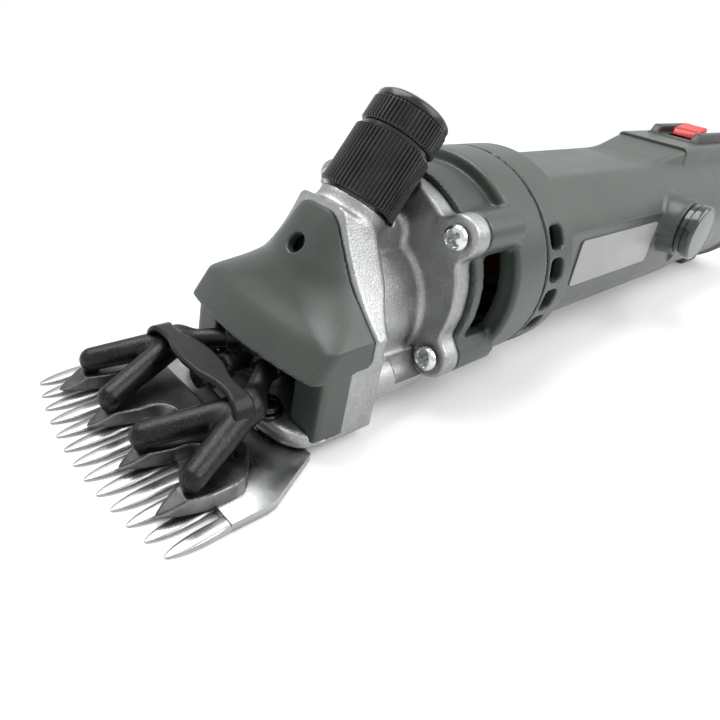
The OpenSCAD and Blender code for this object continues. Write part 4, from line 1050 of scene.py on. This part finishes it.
@dataclass
class Head:
    """Moulded front cover and the casting behind it."""

    brow_low: float = -12.8
    brow_lean: float = 32.5
    half: float = 29.4
    front: float = 43.6
    seam: float = 67.3
    top: float = 25.3
    wall: float = 2.6
    rim: float = 0.55
    nut_lean: float = 33.9
    nut_seat: tuple[float, float, float] = (81.17, 0.0, 23.0)

    def _bell(self, grow: float, bowed: bool) -> Clay:
        """Bell shape of the head, concave on its flanks and drawn up to a narrow top.

        Args:
            grow: How far it stands out from the cover.
            bowed: True for the cover, with its bowed front; False for flanks and top alone.

        Returns:
            The shape, open to the rear and below.
        """
        # Half width, front and corner radius at each height
        flank = smooth_curve((-4.6, 0.0, 5.0, 10.0, 15.5, 20.0, 24.0, 27.0),
                             (29.4, 24.2, 19.6, 15.9, 12.6, 10.3, 8.6, 7.9))
        face = smooth_curve((-4.6, 0.0, 5.0, 10.0, 15.5, 20.0, 25.3), (48.8, 53.7, 56.7, 58.4, 59.6, 60.6, 61.9))
        corner = smooth_curve((-12.8, -4.6, 0.0, 5.0, 10.0, 16.0, 21.0, 26.0),
                              (3.0, 3.4, 9.0, 13.0, 12.0, 8.5, 5.5, 4.0))

        def distance(p: Points) -> np.ndarray:
            """Distance to the bell."""
            z = p[:, 2]
            side = np.maximum(np.abs(p[:, 1]) - self.half, (np.abs(p[:, 1]) - flank(z)) * 0.72)
            up = z - self.top
            if not bowed:
                return -soft_min(-side, -up, 3.0) - grow
            bow = np.clip(p[:, 1] ** 2 / 244.0, 0, 4) * np.clip((22 - z) / 26, 0, 1)
            brow = self.front + (z - self.brow_low) * math.tan(math.radians(self.brow_lean)) + bow - p[:, 0]
            brow = brow * 0.84
            nose = (face(z) + bow - p[:, 0]) * 0.86
            ahead = -soft_min(-brow, -nose, 0.5)
            width = np.clip(corner(z), 3.0, 22.0)
            return -soft_min(soft_min(-side, -ahead, width), -up, 3.0) - grow

        return Clay(distance)

    def cover(self) -> bpy.types.Object:
        """Builds the hollow front cover with its two legs and oil hole.

        Returns:
            The finished piece.
        """
        skin = self._bell(0.0, True)
        inside = Clay(lambda p: skin.field(p) + self.wall)
        ends = Clay.block((40, -40, self.brow_low), (self.seam, 40, 40))
        shell = skin.meet(ends, 0.7).cut(inside.meet(Clay.block((30, -60, -60), (90, 60, 60))))
        leg = Clay.block((50.5, 18.5, -31.1), (60.5, self.half, self.brow_low + 1.6), 0.7)
        leg = leg.meet(Clay.drum((56.5, 23.4, -40), (56.5, 23.4, 0),
                                 8.0).join(Clay.block((56, 0, -60), (70, 60, 60))), 1.2)
        shape = shell.join(leg.mirrored(), 0.4)
        shape = shape.cut(Clay.drum((70, 0, 8.8), (52, 0, 17), 2.9), 0.5)
        return shape.piece("front_cover", (42, -30.5, -32), (68, 30.5, 26.5), 0.56, MOULDED_NYLON)

    def casting(self) -> bpy.types.Object:
        """Builds the casting: floor with its bright lip, walls, bell rim, neck, bosses and flange.

        Returns:
            The finished piece.
        """
        bell = self._bell(self.rim, False)

        def floor_field(p: Points) -> np.ndarray:
            """Distance to the floor slab, bowed at the front with rounded corners."""
            ahead = 42.4 + p[:, 1] ** 2 / 190 - p[:, 0]
            side = np.abs(p[:, 1]) - self.half + 0.2
            plan = -soft_min(-ahead, -side, 9.0)
            return -soft_min(-plan, -(np.abs(p[:, 2] + 31.65) - 2.65), 2.6)

        shape = Clay(floor_field).meet(Clay.block((30, -40, -60), (72.3, 40, 0), 0.8), 0.6)
        shape = shape.join(Clay.block((60.6, 26.4, -33), (72.3, self.half, -11.0), 0.6).mirrored(), 0.4)
        rear = smooth_curve((-13.0, -5.0, 0.0, 5.0, 10.0, 20.0), (72.4, 72.6, 75.4, 78.8, 80.0, 80.4))
        behind = Clay(lambda p: (p[:, 0] - rear(p[:, 2])) * 0.8)
        crown = Clay(lambda p: (p[:, 2] - 25.9 + 0.67 * (p[:, 0] - self.seam)) * 0.83)
        rim = bell.meet(Clay.block((self.seam + 0.05, -40, -13.5), (90, 40, 40), 0.9), 0.9)
        rim = rim.meet(behind, 2.2).meet(crown, 0.8)
        neck = Clay.block((69, -21.2, -33.2), (92, 21.2, -6), 3.0).join(Clay.run(68, 98, 20.4, 0.5, z=-8), 3.0)
        shape = shape.join(rim, 0.8).join(neck, 2.4)
        shape = shape.join(Clay.run(68, 94.2, 6.5, 1.2, y=21.2, z=-23.5).mirrored(), 2.0)
        shape = shape.join(Clay.run(76, 98, 8.4, 0.8, z=13), 2.2)
        lean = np.array([math.sin(math.radians(self.nut_lean)), 0, math.cos(math.radians(self.nut_lean))])
        seat = np.array(self.nut_seat)
        boss = Clay.drum(seat - lean * 20, seat - lean * 0.6, 10.8, 0.7)
        shape = shape.join(boss.meet(Clay.block((self.seam + 0.2, -20, -20), (103, 20, 60))), 2.2)
        plate = Clay.run(96, 103, 31.0, 1.0)
        for y, z in SCREW_SEATS:
            plate = plate.join(Clay.run(96, 103, 6.5, 1.0, y=y, z=z).mirrored(), 4.0)
        plate = plate.meet(Clay.block((90, -40, -33.8), (103, 40, 32), 0.6), 0.6)
        shape = shape.join(plate.meet(Clay.block((96, -50, -50), (102.98, 50, 50), 0.9), 0.5), 3.2)
        # Fork chamber, crank and gear space, and the seats of the screws, legs and tension nut
        for low, high in (((38, -19.5, -29), (68.4, 19.5, -4.6)), ((51, -18.2, -29), (88.6, 18.2, -5)),
                          ((61.3, -12, -6), (72.3, 12, 6))):
            shape = shape.cut(Clay.block(low, high, 0.5), 0.4)
        for start_x, end_x, r, z in ((86.4, 107, 8.9, CRANK_Z), (89.4, 95.85, 10.5, CRANK_Z),
                                     (96.4, 106, 15.65, CRANK_Z), (96.4, 106, 5.2, 0)):
            shape = shape.cut(Clay.run(start_x, end_x, r, z=z))
        shape = shape.cut(Clay.drum(seat - lean * 14, seat + lean * 8, 8.05))
        shape = shape.cut(Clay.drum(seat - lean * 38, seat, 3.6))
        shape = shape.cut(Clay.drum((64, 0, 11.5), (71.5, 0, 3.5), 2.9))
        shape = shape.cut(Clay.drum((46.8, 13, -40), (46.8, 13, -20), 2.5).mirrored())
        shape = shape.cut(Clay.drum((60, 0, -32.2), (60, 0, -28), 4.05))
        for y, z in SCREW_SEATS:
            shape = shape.cut(Clay.run(95, 104, 2.3, y=y, z=z).mirrored())
        y, z = SCREW_SEATS[1]
        shape = shape.cut(Clay.run(82, 96, 4.7, 0.4, y=y, z=z).mirrored(), 0.4)
        shape = shape.cut(Clay.block((50.4, 18.4, -31.3), (60.6, 31, -28)).mirrored())
        shape = shape.cut(Clay.drum(seat - lean * 0.3, seat + lean * 60, 13.1))
        shape = shape.meet(Clay.block((30, -60, -34.25), (120, 60, 60)))
        return shape.piece("head_casting", (41.5, -34.5, -35), (103.5, 34.5, 32.5), 0.68, BLASTED_ALUMINIUM)

    def build(self) -> None:
        """Builds both pieces."""
        fit(self.cover(), "frame", "green_shell", "front_cover")
        fit(self.casting(), "frame", "head_alloy", "head_casting")


@dataclass
class Tension:
    """Ribbed tension nut and its lock cap on the leaning axis."""

    rise: float = 37.95
    nut_r: float = 12.3
    nut_l: float = 19.7
    cap_r: float = 12.1
    cap_l: float = 11.0
    bore_r: float = 8.1
    ribs: int = 60

    def _ribbed(self, name: str, profile: Sequence[tuple[float, float]], radius: float, low: float,
                high: float) -> bpy.types.Object:
        """Turns a body and sets straight ribs round it.

        Args:
            name: Name of the piece.
            profile: Closed (height, radius) outline.
            radius: Radius over the ribs.
            low: Height where the ribs start.
            high: Height where they end.

        Returns:
            The finished local mesh.
        """
        core = lathed(name, profile, 120, BLACKED_TURNING)
        wide = math.pi * 2 * radius / self.ribs * 0.36
        out = np.array([-0.9, -0.25, 0.0, 0.0, -0.25, -0.9])
        across = [-wide, -wide, -wide * 0.45, wide * 0.45, wide, wide]
        loops = [np.column_stack([out + sunk, across, np.full(6, z)])
                 for z, sunk in ((low, -0.55), (low + 0.6, 0), (high - 0.6, 0), (high, -0.55))]
        rib = outward(make_piece(name + "_rib", *rings(loops), [BLACKED_TURNING], 25, local=True))
        return Repeat(name + "_ribs", Pattern.RING, BLACKED_TURNING, self.ribs, radius).build(core, rib)

    def build(self) -> None:
        """Builds the nut and the cap in line with the nut's joint."""
        joint = next(j for j in frame["record"]["behaviour"]["joints"] if j["name"] == "nut_turn")
        axis = Vector(joint["axis"]).normalized()
        turned = axis.to_track_quat("Z", "Y").to_matrix().to_4x4()
        place = Matrix.Translation(Vector(joint["pos_m"]) + axis * self.rise / 1000) @ turned
        r, top, step = self.nut_r - 0.62, self.nut_l, self.nut_r - 1.4
        nut = [(0, self.bore_r), (0, r - 0.5), (0.5, r), (top - 0.5, r), (top, r - 0.4), (top, step),
               (top + 1.25, step),
               (top + 1.25, self.bore_r)]
        piece = self._ribbed("tension_nut", nut, self.nut_r, 0.05, top - 0.05)
        fit(set_in_place(piece, place), "nut", "black_nut", "tension_nut")
        low, r, full = self.nut_l + 1.6, self.cap_r - 0.6, self.cap_r
        top = low + self.cap_l
        cap = [(low, self.bore_r), (low, r - 0.3), (low + 0.4, r), (top - 3.3, r), (top - 3.1, full - 0.35),
               (top - 1.7, full - 0.35), (top - 1.2, full - 0.6), (top - 0.35, full - 1.7), (top - 0.05, full - 2.6),
               (top, full - 3.6), (top - 0.25, full - 4.4), (top - 0.25, 0.05), (top - 2.4, 0.05),
               (top - 2.4, self.bore_r)]
        piece = self._ribbed("lock_cap", cap, self.cap_r, low + 0.1, top - 3.2)
        fit(set_in_place(piece, place), "cap", "black_nut", "lock_cap")


@dataclass
class MotorHousing:
    """Nose, vented ring, barrel with its flat top and label panel, and the flange screws."""

    nose_x: float = 103.02
    ring_x: float = 118.8
    split_x: float = 135.2
    ring_end: float = 153.4
    end_x: float = 278.0
    nose_r: float = 32.6
    ring_r: float = 36.9
    barrel_r: float = 33.0
    bore_r: float = 28.3
    ring_bore_r: float = 33.1
    flat_z: float = 29.6
    panel_y: float = -29.9
    vent_angles: tuple[float, ...] = (27.0, 10.0, -7.0, -24.0, -41.0)

    def nose(self) -> bpy.types.Object:
        """Builds the bridged nose with the front half of the ring.

        Returns:
            The finished piece.
        """
        shape = Clay.run(self.nose_x, 124, self.nose_r, 0.3)
        for y, z in SCREW_SEATS:
            shape = shape.join(Clay.run(self.nose_x, 121, 6.5, 0.3, y=y, z=z).mirrored(), 3.0)
        front = Clay.block((100, -50, -50), (self.split_x, 50, 50), 0.3)
        shape = shape.join(Clay.run(self.ring_x, 140, self.ring_r, 1.5).meet(front, 0.5), 1.0)
        shape = shape.cut(Clay.run(100, 121.8, 30.0)).cut(Clay.run(120.8, 140, self.ring_bore_r))
        shape = shape.cut(Clay.block((107.2, 18, -12.8), (118.7, 50, 14.4), 1.2).mirrored(), 0.5)
        shape = shape.cut(Clay.block((106.4, -14, -50), (117.6, 14, -20), 1.2), 0.6)
        return shape.piece("motor_nose", (102.4, -37.2, -37.2), (135.5, 37.2, 37.2), 0.8, MOULDED_NYLON)

    def ring(self) -> bpy.types.Object:
        """Builds the rear half of the ring with its vents.

        Returns:
            The finished piece.
        """
        shape = Clay.run(125, self.ring_end, self.ring_r, 2.2)
        shape = shape.meet(Clay.block((self.split_x + 0.95, -50, -50), (160, 50, 50), 0.3), 0.5)
        shape = shape.cut(Clay.run(120, 149.5, self.ring_bore_r)).cut(Clay.run(120, 160, self.bore_r))
        slot = Clay.block((137.9, 28, -4.0), (145.9, 45, 4.0), 2.5)
        for degrees in self.vent_angles:
            a = math.radians(degrees)
            spin = np.array([[1, 0, 0], [0, math.cos(a), math.sin(a)], [0, -math.sin(a), math.cos(a)]])
            shape = shape.cut(Clay(lambda p, s=spin: slot.field(p @ s.T)).mirrored(), 0.5)
        return shape.piece("vented_ring", (135.3, -37.2, -37.2), (153.8, 37.2, 37.2), 0.72, MOULDED_NYLON)

    def barrel(self) -> bpy.types.Object:
        """Builds the barrel: flat top, label panel, dial boss and the ramp up to the deck.

        Returns:
            The finished piece.
        """
        body = Clay(lambda p: np.hypot(p[:, 1], p[:, 2]) - self.barrel_r)
        body = body.meet(Clay(lambda p: p[:, 2] - self.flat_z), 0.7)
        body = body.cut(Clay.block((157.5, -60, -14), (266, self.panel_y, 14), 0.3), 0.2)
        body = body.join(Clay.drum((DIAL_X, -37.3, DIAL_Z), (DIAL_X, -15, DIAL_Z), 12.6, 0.9), 2.2)

        def deck_field(p: Points) -> np.ndarray:
            """Distance to the ramp that widens and rises towards the handle."""
            x = np.clip((p[:, 0] - 244) / 34, 0, 1)
            up = p[:, 2] - (self.flat_z - 0.4 + 5.9 * x)
            side = np.abs(p[:, 1]) - (14 + 3 * x)
            return np.maximum(-soft_min(soft_min(-side, -up, 2.5), p[:, 0] - 243.5, 1.0), -p[:, 2])

        body = body.join(Clay(deck_field), 1.5)
        start = 152.6
        at = np.unique(np.concatenate([[start, 153.4, 156, 157, 157.4, 157.7, 158.2], np.linspace(160, 233, 22),
                                       np.arange(234, 267.6, 0.6), np.arange(268.5, 277.4, 2.2), [277.5]]))
        loops = [ring_at(x, body.reach(x)) for x in at]
        loops.append(ring_at(self.end_x, body.reach(self.end_x - 0.01) - 0.45))
        loops += [ring_at(x, self.bore_r) for x in (self.end_x, start)]
        return outward(make_piece("motor_barrel", *rings(loops, closed=True), [MOULDED_NYLON], 40))

    def trim(self) -> None:
        """Builds the bead over the label panel, the label blank and the flange screws."""
        turn = np.linspace(0, 2 * math.pi, 10, endpoint=False)
        bead = [np.column_stack([np.full(10, x), -29.75 + r * np.cos(turn), 14.1 + r * np.sin(turn)])
                for x, r in ((157.2, 0.1), (157.6, 0.5), (260.6, 0.5), (261.4, 0.1))]
        fit(outward(make_piece("panel_bead", *rings(bead), [MOULDED_NYLON])), "frame", "green_shell")
        low, high, r = (168.6, -7.6), (234.4, 10.5), 1.8
        centres = ((high[0] - r, high[1] - r), (low[0] + r, high[1] - r), (low[0] + r, low[1] + r),
                   (high[0] - r, low[1] + r))
        outline = [(x + r * math.cos(a), z + r * math.sin(a)) for quarter, (x, z) in enumerate(centres)
                   for a in np.radians(np.linspace(quarter * 90, quarter * 90 + 90, 7))]
        label = slab("label_plate", outline, self.panel_y - 0.6, self.panel_y + 0.02, LABEL_VINYL)
        fit(bevel(label, 0.18, 2, 50), "frame", "label_face", "label_plate")
        corners = [(z, side * y, 0) for y, z in SCREW_SEATS for side in (-1, 1)]
        spots = make_piece("flange_screws", corners, [], [PLATED_SCREW], local=True)
        head = outward(make_piece("cross_screw", *cross_head(3.9, 2.8, 6.5), [PLATED_SCREW], 40, local=True))
        heads = Repeat("flange_screw_set", Pattern.POINTS, PLATED_SCREW).build(spots, head)
        set_in_place(heads, row_place(96, 0, 0) @ Matrix.Rotation(-math.pi / 2, 4, "Y"))
        names = [f"flange_screw_{level}_{side}" for level in ("upper", "lower") for side in ("left", "right")]
        fit(heads, "frame", "bright_screw", *names)

    def dial(self) -> None:
        """Builds the speed dial: polished stepped rim and a matt face."""
        rim = [(0, 0.05), (0, 10.8), (0.25, 11.15), (2.0, 11.15), (2.2, 10.8), (2.5, 10.8), (2.7, 11.6), (2.95, 11.95),
               (4.9, 11.95), (5.6, 11.8), (6.15, 11.3), (6.38, 10.9), (6.4, 10.6), (6.2, 10.5), (6.2, 0.05)]
        disc = [(6.1, 0.05), (6.1, 10.45), (6.25, 10.45), (6.32, 10.2), (6.32, 0.05)]
        place = row_place(DIAL_X, -37.6, DIAL_Z) @ Matrix.Rotation(math.pi / 2, 4, "X")
        fit(set_in_place(lathed("speed_dial_rim", rim, 96, DIAL_RIM), place), "dial", "black_plastic", "speed_dial")
        fit(set_in_place(lathed("speed_dial_face", disc, 96, DIAL_FACE), place), "dial", "black_plastic")

    def build(self) -> None:
        """Builds every piece of the housing."""
        fit(self.nose(), "frame", "green_shell", "motor_housing")
        fit(self.ring(), "frame", "green_shell")
        fit(self.barrel(), "frame", "green_shell")
        self.trim()
        self.dial()


@dataclass
class RearHandle:
    """Handle shell with its switch deck, the slide switch and the cable grommet."""

    start: float = 278.4
    end: float = 376.0
    radius: float = 32.0
    bore_r: float = 27.6
    deck_z: float = 36.6
    deck_half: float = 17.0

    def shell(self) -> bpy.types.Object:
        """Builds the handle shell with the switch opening and the grommet hole.

        Returns:
            The finished piece.
        """
        body = Clay.run(250, self.end, self.radius, 4.0)

        def deck_field(p: Points) -> np.ndarray:
            """Distance to the deck that falls away behind the switch."""
            up = np.maximum(p[:, 2] - self.deck_z, (p[:, 2] - self.deck_z + (p[:, 0] - 355) * 0.58) * 0.86)
            side = np.abs(p[:, 1]) - self.deck_half + np.clip(p[:, 0] - 354, 0, 20) * 0.35
            return np.maximum.reduce([-soft_min(-side, -up, 3.0), p[:, 0] - 372, -p[:, 2]])

        body = body.join(Clay(deck_field), 1.8)
        body = body.join(Clay.run(352, 373, 34.0, 3.0), 2.5)
        body = body.join(Clay.block((352.2, -13.5, -36.85), (372.8, 13.5, -20), 2.0), 3.0)
        at = np.concatenate([[self.start, 278.9], np.linspace(281, 347, 18), np.arange(348.5, 375.8, 0.75),
                             [375.7, 375.95]])
        loops = [ring_at(x, np.maximum(body.reach(x) - (0.45 if x == self.start else 0), 20)) for x in at]
        wall_x, gland_r = 371.6, 8.05
        loops += [ring_at(x, r) for x, r in ((self.end, 26.0), (self.end, gland_r), (wall_x, gland_r),
                                             (wall_x, self.bore_r), (self.start, self.bore_r))]
        shell = outward(make_piece("rear_handle", *rings(loops, closed=True), [MOULDED_NYLON], 40))
        carve(shell, slab("switch_opening", oblong(300.65, 352.6, -9.97, 9.97), 20, 60, BLACK_NYLON, axis=2))
        turn = np.linspace(0, 2 * math.pi, 32, endpoint=False)
        for y in (-23.0, 23.0):
            pocket = [(y + 4 * math.cos(a), -14 + 4 * math.sin(a)) for a in turn]
            carve(shell, slab("screw_pocket", pocket, 373.4, 380, BLACK_NYLON, axis=0))
        shell.data.set_sharp_from_angle(angle=math.radians(40))
        return shell

    def switch(self) -> None:
        """Builds the guard frame, the red slide button and the pale plate behind it."""
        base = Clay.block((299.7, -11.95, 35.6), (353.5, 11.95, 37.2), 0.5)
        base = base.join(Clay.block((300.7, -9.95, 29.7), (352.5, 9.95, 36), 0.3))

        def slopes(p: Points) -> np.ndarray:
            """Distance to the two slanted planes that end each guard rail."""
            return np.maximum(301.4 - p[:, 0] + (p[:, 2] - 37), p[:, 0] - 351.8 + (p[:, 2] - 37)) * 0.7

        rail = Clay.block((301, 8.2, 36), (352, 11.95, 41.0), 0.8).meet(Clay(slopes), 0.8).mirrored()
        shape = base.join(rail, 0.6).cut(Clay.block((306.6, -6.3, 20), (330.5, 6.3, 60), 0.3))
        guard = shape.piece("switch_frame", (299, -12.3, 29.2), (354, 12.3, 41.5), 0.5, BLACK_NYLON)
        fit(guard, "frame", "black_plastic", "switch_frame")
        side = [(315.6, 36.9), (317.0, 39.6), (319.4, 40.9), (323.0, 41.2), (326.2, 42.2), (328.4, 42.6), (329.6, 41.4),
                (329.6, 36.9)]
        button = bevel(slab("switch_slide", side, -6.0, 6.0, RED_ABS), 0.55, 3, 20)
        fit(button, "button", "red_button", "switch_slide")
        stem = slab("slide_stem", oblong(319.6, 324.6, 26.7, 37.5), -2.5, 2.5, BLACK_NYLON)
        fit(bevel(stem, 0.3, 2), "button", "red_button")
        plate = slab("marking_plate", oblong(331.0, 346.6, 37.15, 38.0), -7.0, 7.0, PALE_PLATE)
        fit(bevel(plate, 0.22, 3), "frame", "pale_plate", "marking_plate")

    def grommet(self) -> None:
        """Builds the ringed rubber grommet with its open cable bore."""
        profile = [(0, 3.75), (0, 8.0), (16.02, 8.0), (16.02, 9.5), (16.5, 10.0), (17.9, 10.0), (18.4, 9.5),
                   (18.5, 8.0),
                   (19.7, 8.0), (19.9, 7.2), (20.7, 7.2), (20.9, 8.0), (22.1, 8.0), (22.3, 7.2), (23.0, 7.2),
                   (23.2, 7.8),
                   (23.8, 7.6), (24.0, 7.0), (24.0, 4.3), (23.5, 3.75)]
        place = row_place(360, 0, 0) @ Matrix.Rotation(math.pi / 2, 4, "Y")
        fit(set_in_place(lathed("cord_gland", profile, 72, RUBBER), place), "frame", "gland_rubber", "cord_gland")

    def build(self) -> None:
        """Builds every piece of the handle."""
        fit(self.shell(), "frame", "green_shell", "rear_handle")
        self.switch()
        self.grommet()


@dataclass
class InnerWorks:
    """Motor, gears and small parts that keep their CAD shape and take a finish."""

    finishes: tuple[tuple[Finish, str], ...] = (
        (OILED_STEEL, "pivot_post tension_sleeve tension_pin crank_roller crankshaft crank_gear crank_bearing pinion "
                      "motor_shaft front_bearing rear_bearing"),
        (SINTERED_BRONZE, "crank_bush brush_holder_left brush_holder_right"),
        (BLACK_NYLON, "gear_plate fan switch_body"),
        (LAMINATIONS, "armature_core stator_core"),
        # The copper colour of these parts is darkened as painted shade for the recess behind the nose windows
        (ENAMELLED_COPPER_PAINTED_SHADE, "armature_winding commutator field_coils"),
        (CARBON, "brush_left brush_right"),
        (PLATED_SCREW, "handle_screw_left handle_screw_right"),
        (BOARD, "speed_board"))

    def build(self) -> None:
        """Gives each kept node its finish."""
        for finish, names in self.finishes:
            for name in names.split():
                for slot in frame["nodes"][name].material_slots:
                    slot.material = finish.material()


@dataclass
class Studio:
    """Pale table, soft light and the camera."""

    table_m: float = 6.0
    sky: float = 0.31
    lamp_m: float = 0.7
    lamps: tuple[tuple[str, float, tuple[float, float, float]], ...] = (
        ("key", 8.5, (-0.15, 0.32, 0.85)), ("fill", 6.0, (0.28, -0.50, 0.62)))
    eye: tuple[float, float, float] = (-0.24063, -0.11941, 0.11404)
    axes: tuple[tuple[float, float, float], ...] = (
        (0.73524, -0.65880, 0.15940), (0.15849, 0.39574, 0.90458), (-0.65902, -0.63982, 0.39538))
    lens: float = 32.195
    shift: tuple[float, float] = (0.0355, -0.1236)

    @staticmethod
    def _seen(tree: bpy.types.NodeTree) -> bpy.types.NodeSocket:
        """Adds a value of 1 for rays from the camera and for those that metal and glass send on.

        Args:
            tree: The shader tree.

        Returns:
            The socket with that value.
        """
        rays = add_node(tree, "ShaderNodeLightPath")
        some = add_node(tree, "ShaderNodeMath", {0: rays.outputs["Is Camera Ray"], 1: rays.outputs["Is Glossy Ray"]},
                        operation="MAXIMUM")
        return add_node(tree, "ShaderNodeMath", {0: some.outputs[0], 1: rays.outputs["Is Transmission Ray"]},
                        operation="MAXIMUM").outputs[0]

    def table(self) -> None:
        """Lays the pale table and keeps its shadows."""
        h = self.table_m
        mesh = bpy.data.meshes.new("table")
        mesh.from_pydata([(-h, -h, -0.0001), (h, -h, -0.0001), (h, h, -0.0001), (-h, h, -0.0001)], [], [(0, 1, 2, 3)])
        board = bpy.data.objects.new("table", mesh)
        bpy.context.scene.collection.objects.link(board)
        paint = bpy.data.materials.new("matt_white_table_paint")
        paint.use_nodes = True
        tree = paint.node_tree
        tree.nodes.clear()
        lift = add_node(tree, "ShaderNodeMath", {0: self._seen(tree), 1: 0.12}, operation="MULTIPLY")
        matt = add_node(tree, "ShaderNodeBsdfDiffuse", {"Color": linear("f6f6f6")})
        glow = add_node(tree, "ShaderNodeEmission", {"Color": linear("ffffff"), "Strength": lift.outputs[0]})
        both = add_node(tree, "ShaderNodeAddShader", {0: matt.outputs[0], 1: glow.outputs[0]})
        white = add_node(tree, "ShaderNodeEmission", {"Color": linear("ffffff"), "Strength": 1.0})
        spot = add_node(tree, "ShaderNodeTexCoord")
        away = add_node(tree, "ShaderNodeVectorMath", {0: spot.outputs["Object"]}, operation="LENGTH")
        edge = add_node(tree, "ShaderNodeMapRange", {"Value": away.outputs["Value"], "From Min": 0.3, "From Max": 0.55},
                        interpolation_type="SMOOTHSTEP")
        share = add_node(tree, "ShaderNodeMath", {0: edge.outputs[0], 1: self._seen(tree)}, operation="MULTIPLY")
        top = add_node(tree, "ShaderNodeMixShader", {0: share.outputs[0], 1: both.outputs[0], 2: white.outputs[0]})
        add_node(tree, "ShaderNodeOutputMaterial", {"Surface": top.outputs[0]})
        mesh.materials.append(paint)

    def light(self) -> None:
        """Hangs a large soft key lamp and a fill on the near side, and sets the sky."""
        for name, watts, at in self.lamps:
            lamp = bpy.data.lights.new(name, "AREA")
            lamp.energy, lamp.size = watts, self.lamp_m
            holder = bpy.data.objects.new(name, lamp)
            bpy.context.scene.collection.objects.link(holder)
            holder.location = at
            holder.rotation_euler = (Vector(at) - Vector((-0.06, 0, 0.03))).to_track_quat("Z", "Y").to_euler()
        world = bpy.data.worlds.new("studio")
        bpy.context.scene.world = world
        world.use_nodes = True
        tree = world.node_tree
        tree.nodes.clear()
        level = add_node(tree, "ShaderNodeMath", {0: self._seen(tree), 1: 1.0 - self.sky, 2: self.sky},
                         operation="MULTIPLY_ADD")
        sky = add_node(tree, "ShaderNodeBackground", {"Color": linear("ffffff"), "Strength": level.outputs[0]})
        add_node(tree, "ShaderNodeOutputWorld", {"Surface": sky.outputs[0]})

    def camera(self) -> None:
        """Sets up the camera."""
        data = bpy.data.cameras.new("camera")
        data.lens, data.sensor_width, data.shift_x, data.shift_y, data.clip_start = self.lens, 36.0, *self.shift, 0.005
        holder = bpy.data.objects.new("camera", data)
        bpy.context.scene.collection.objects.link(holder)
        turn = Matrix([list(row) for row in zip(*self.axes)]).to_4x4()
        holder.matrix_world = Matrix.Translation(self.eye) @ turn
        bpy.context.scene.camera = holder

    def build(self) -> None:
        """Builds the whole studio."""
        self.table()
        self.light()
        self.camera()
        bpy.context.scene.view_settings.view_transform = "Standard"


def main() -> None:
    """Builds the shears piece by piece."""
    logging.basicConfig(level=logging.INFO, format="%(message)s")
    for group in (Studio(), Comb(), ForkSet(), Head(), Tension(), MotorHousing(), RearHandle(), InnerWorks()):
        group.build()
        LOG.info("%s built", type(group).__name__)


if __name__ == "__main__":
    main()
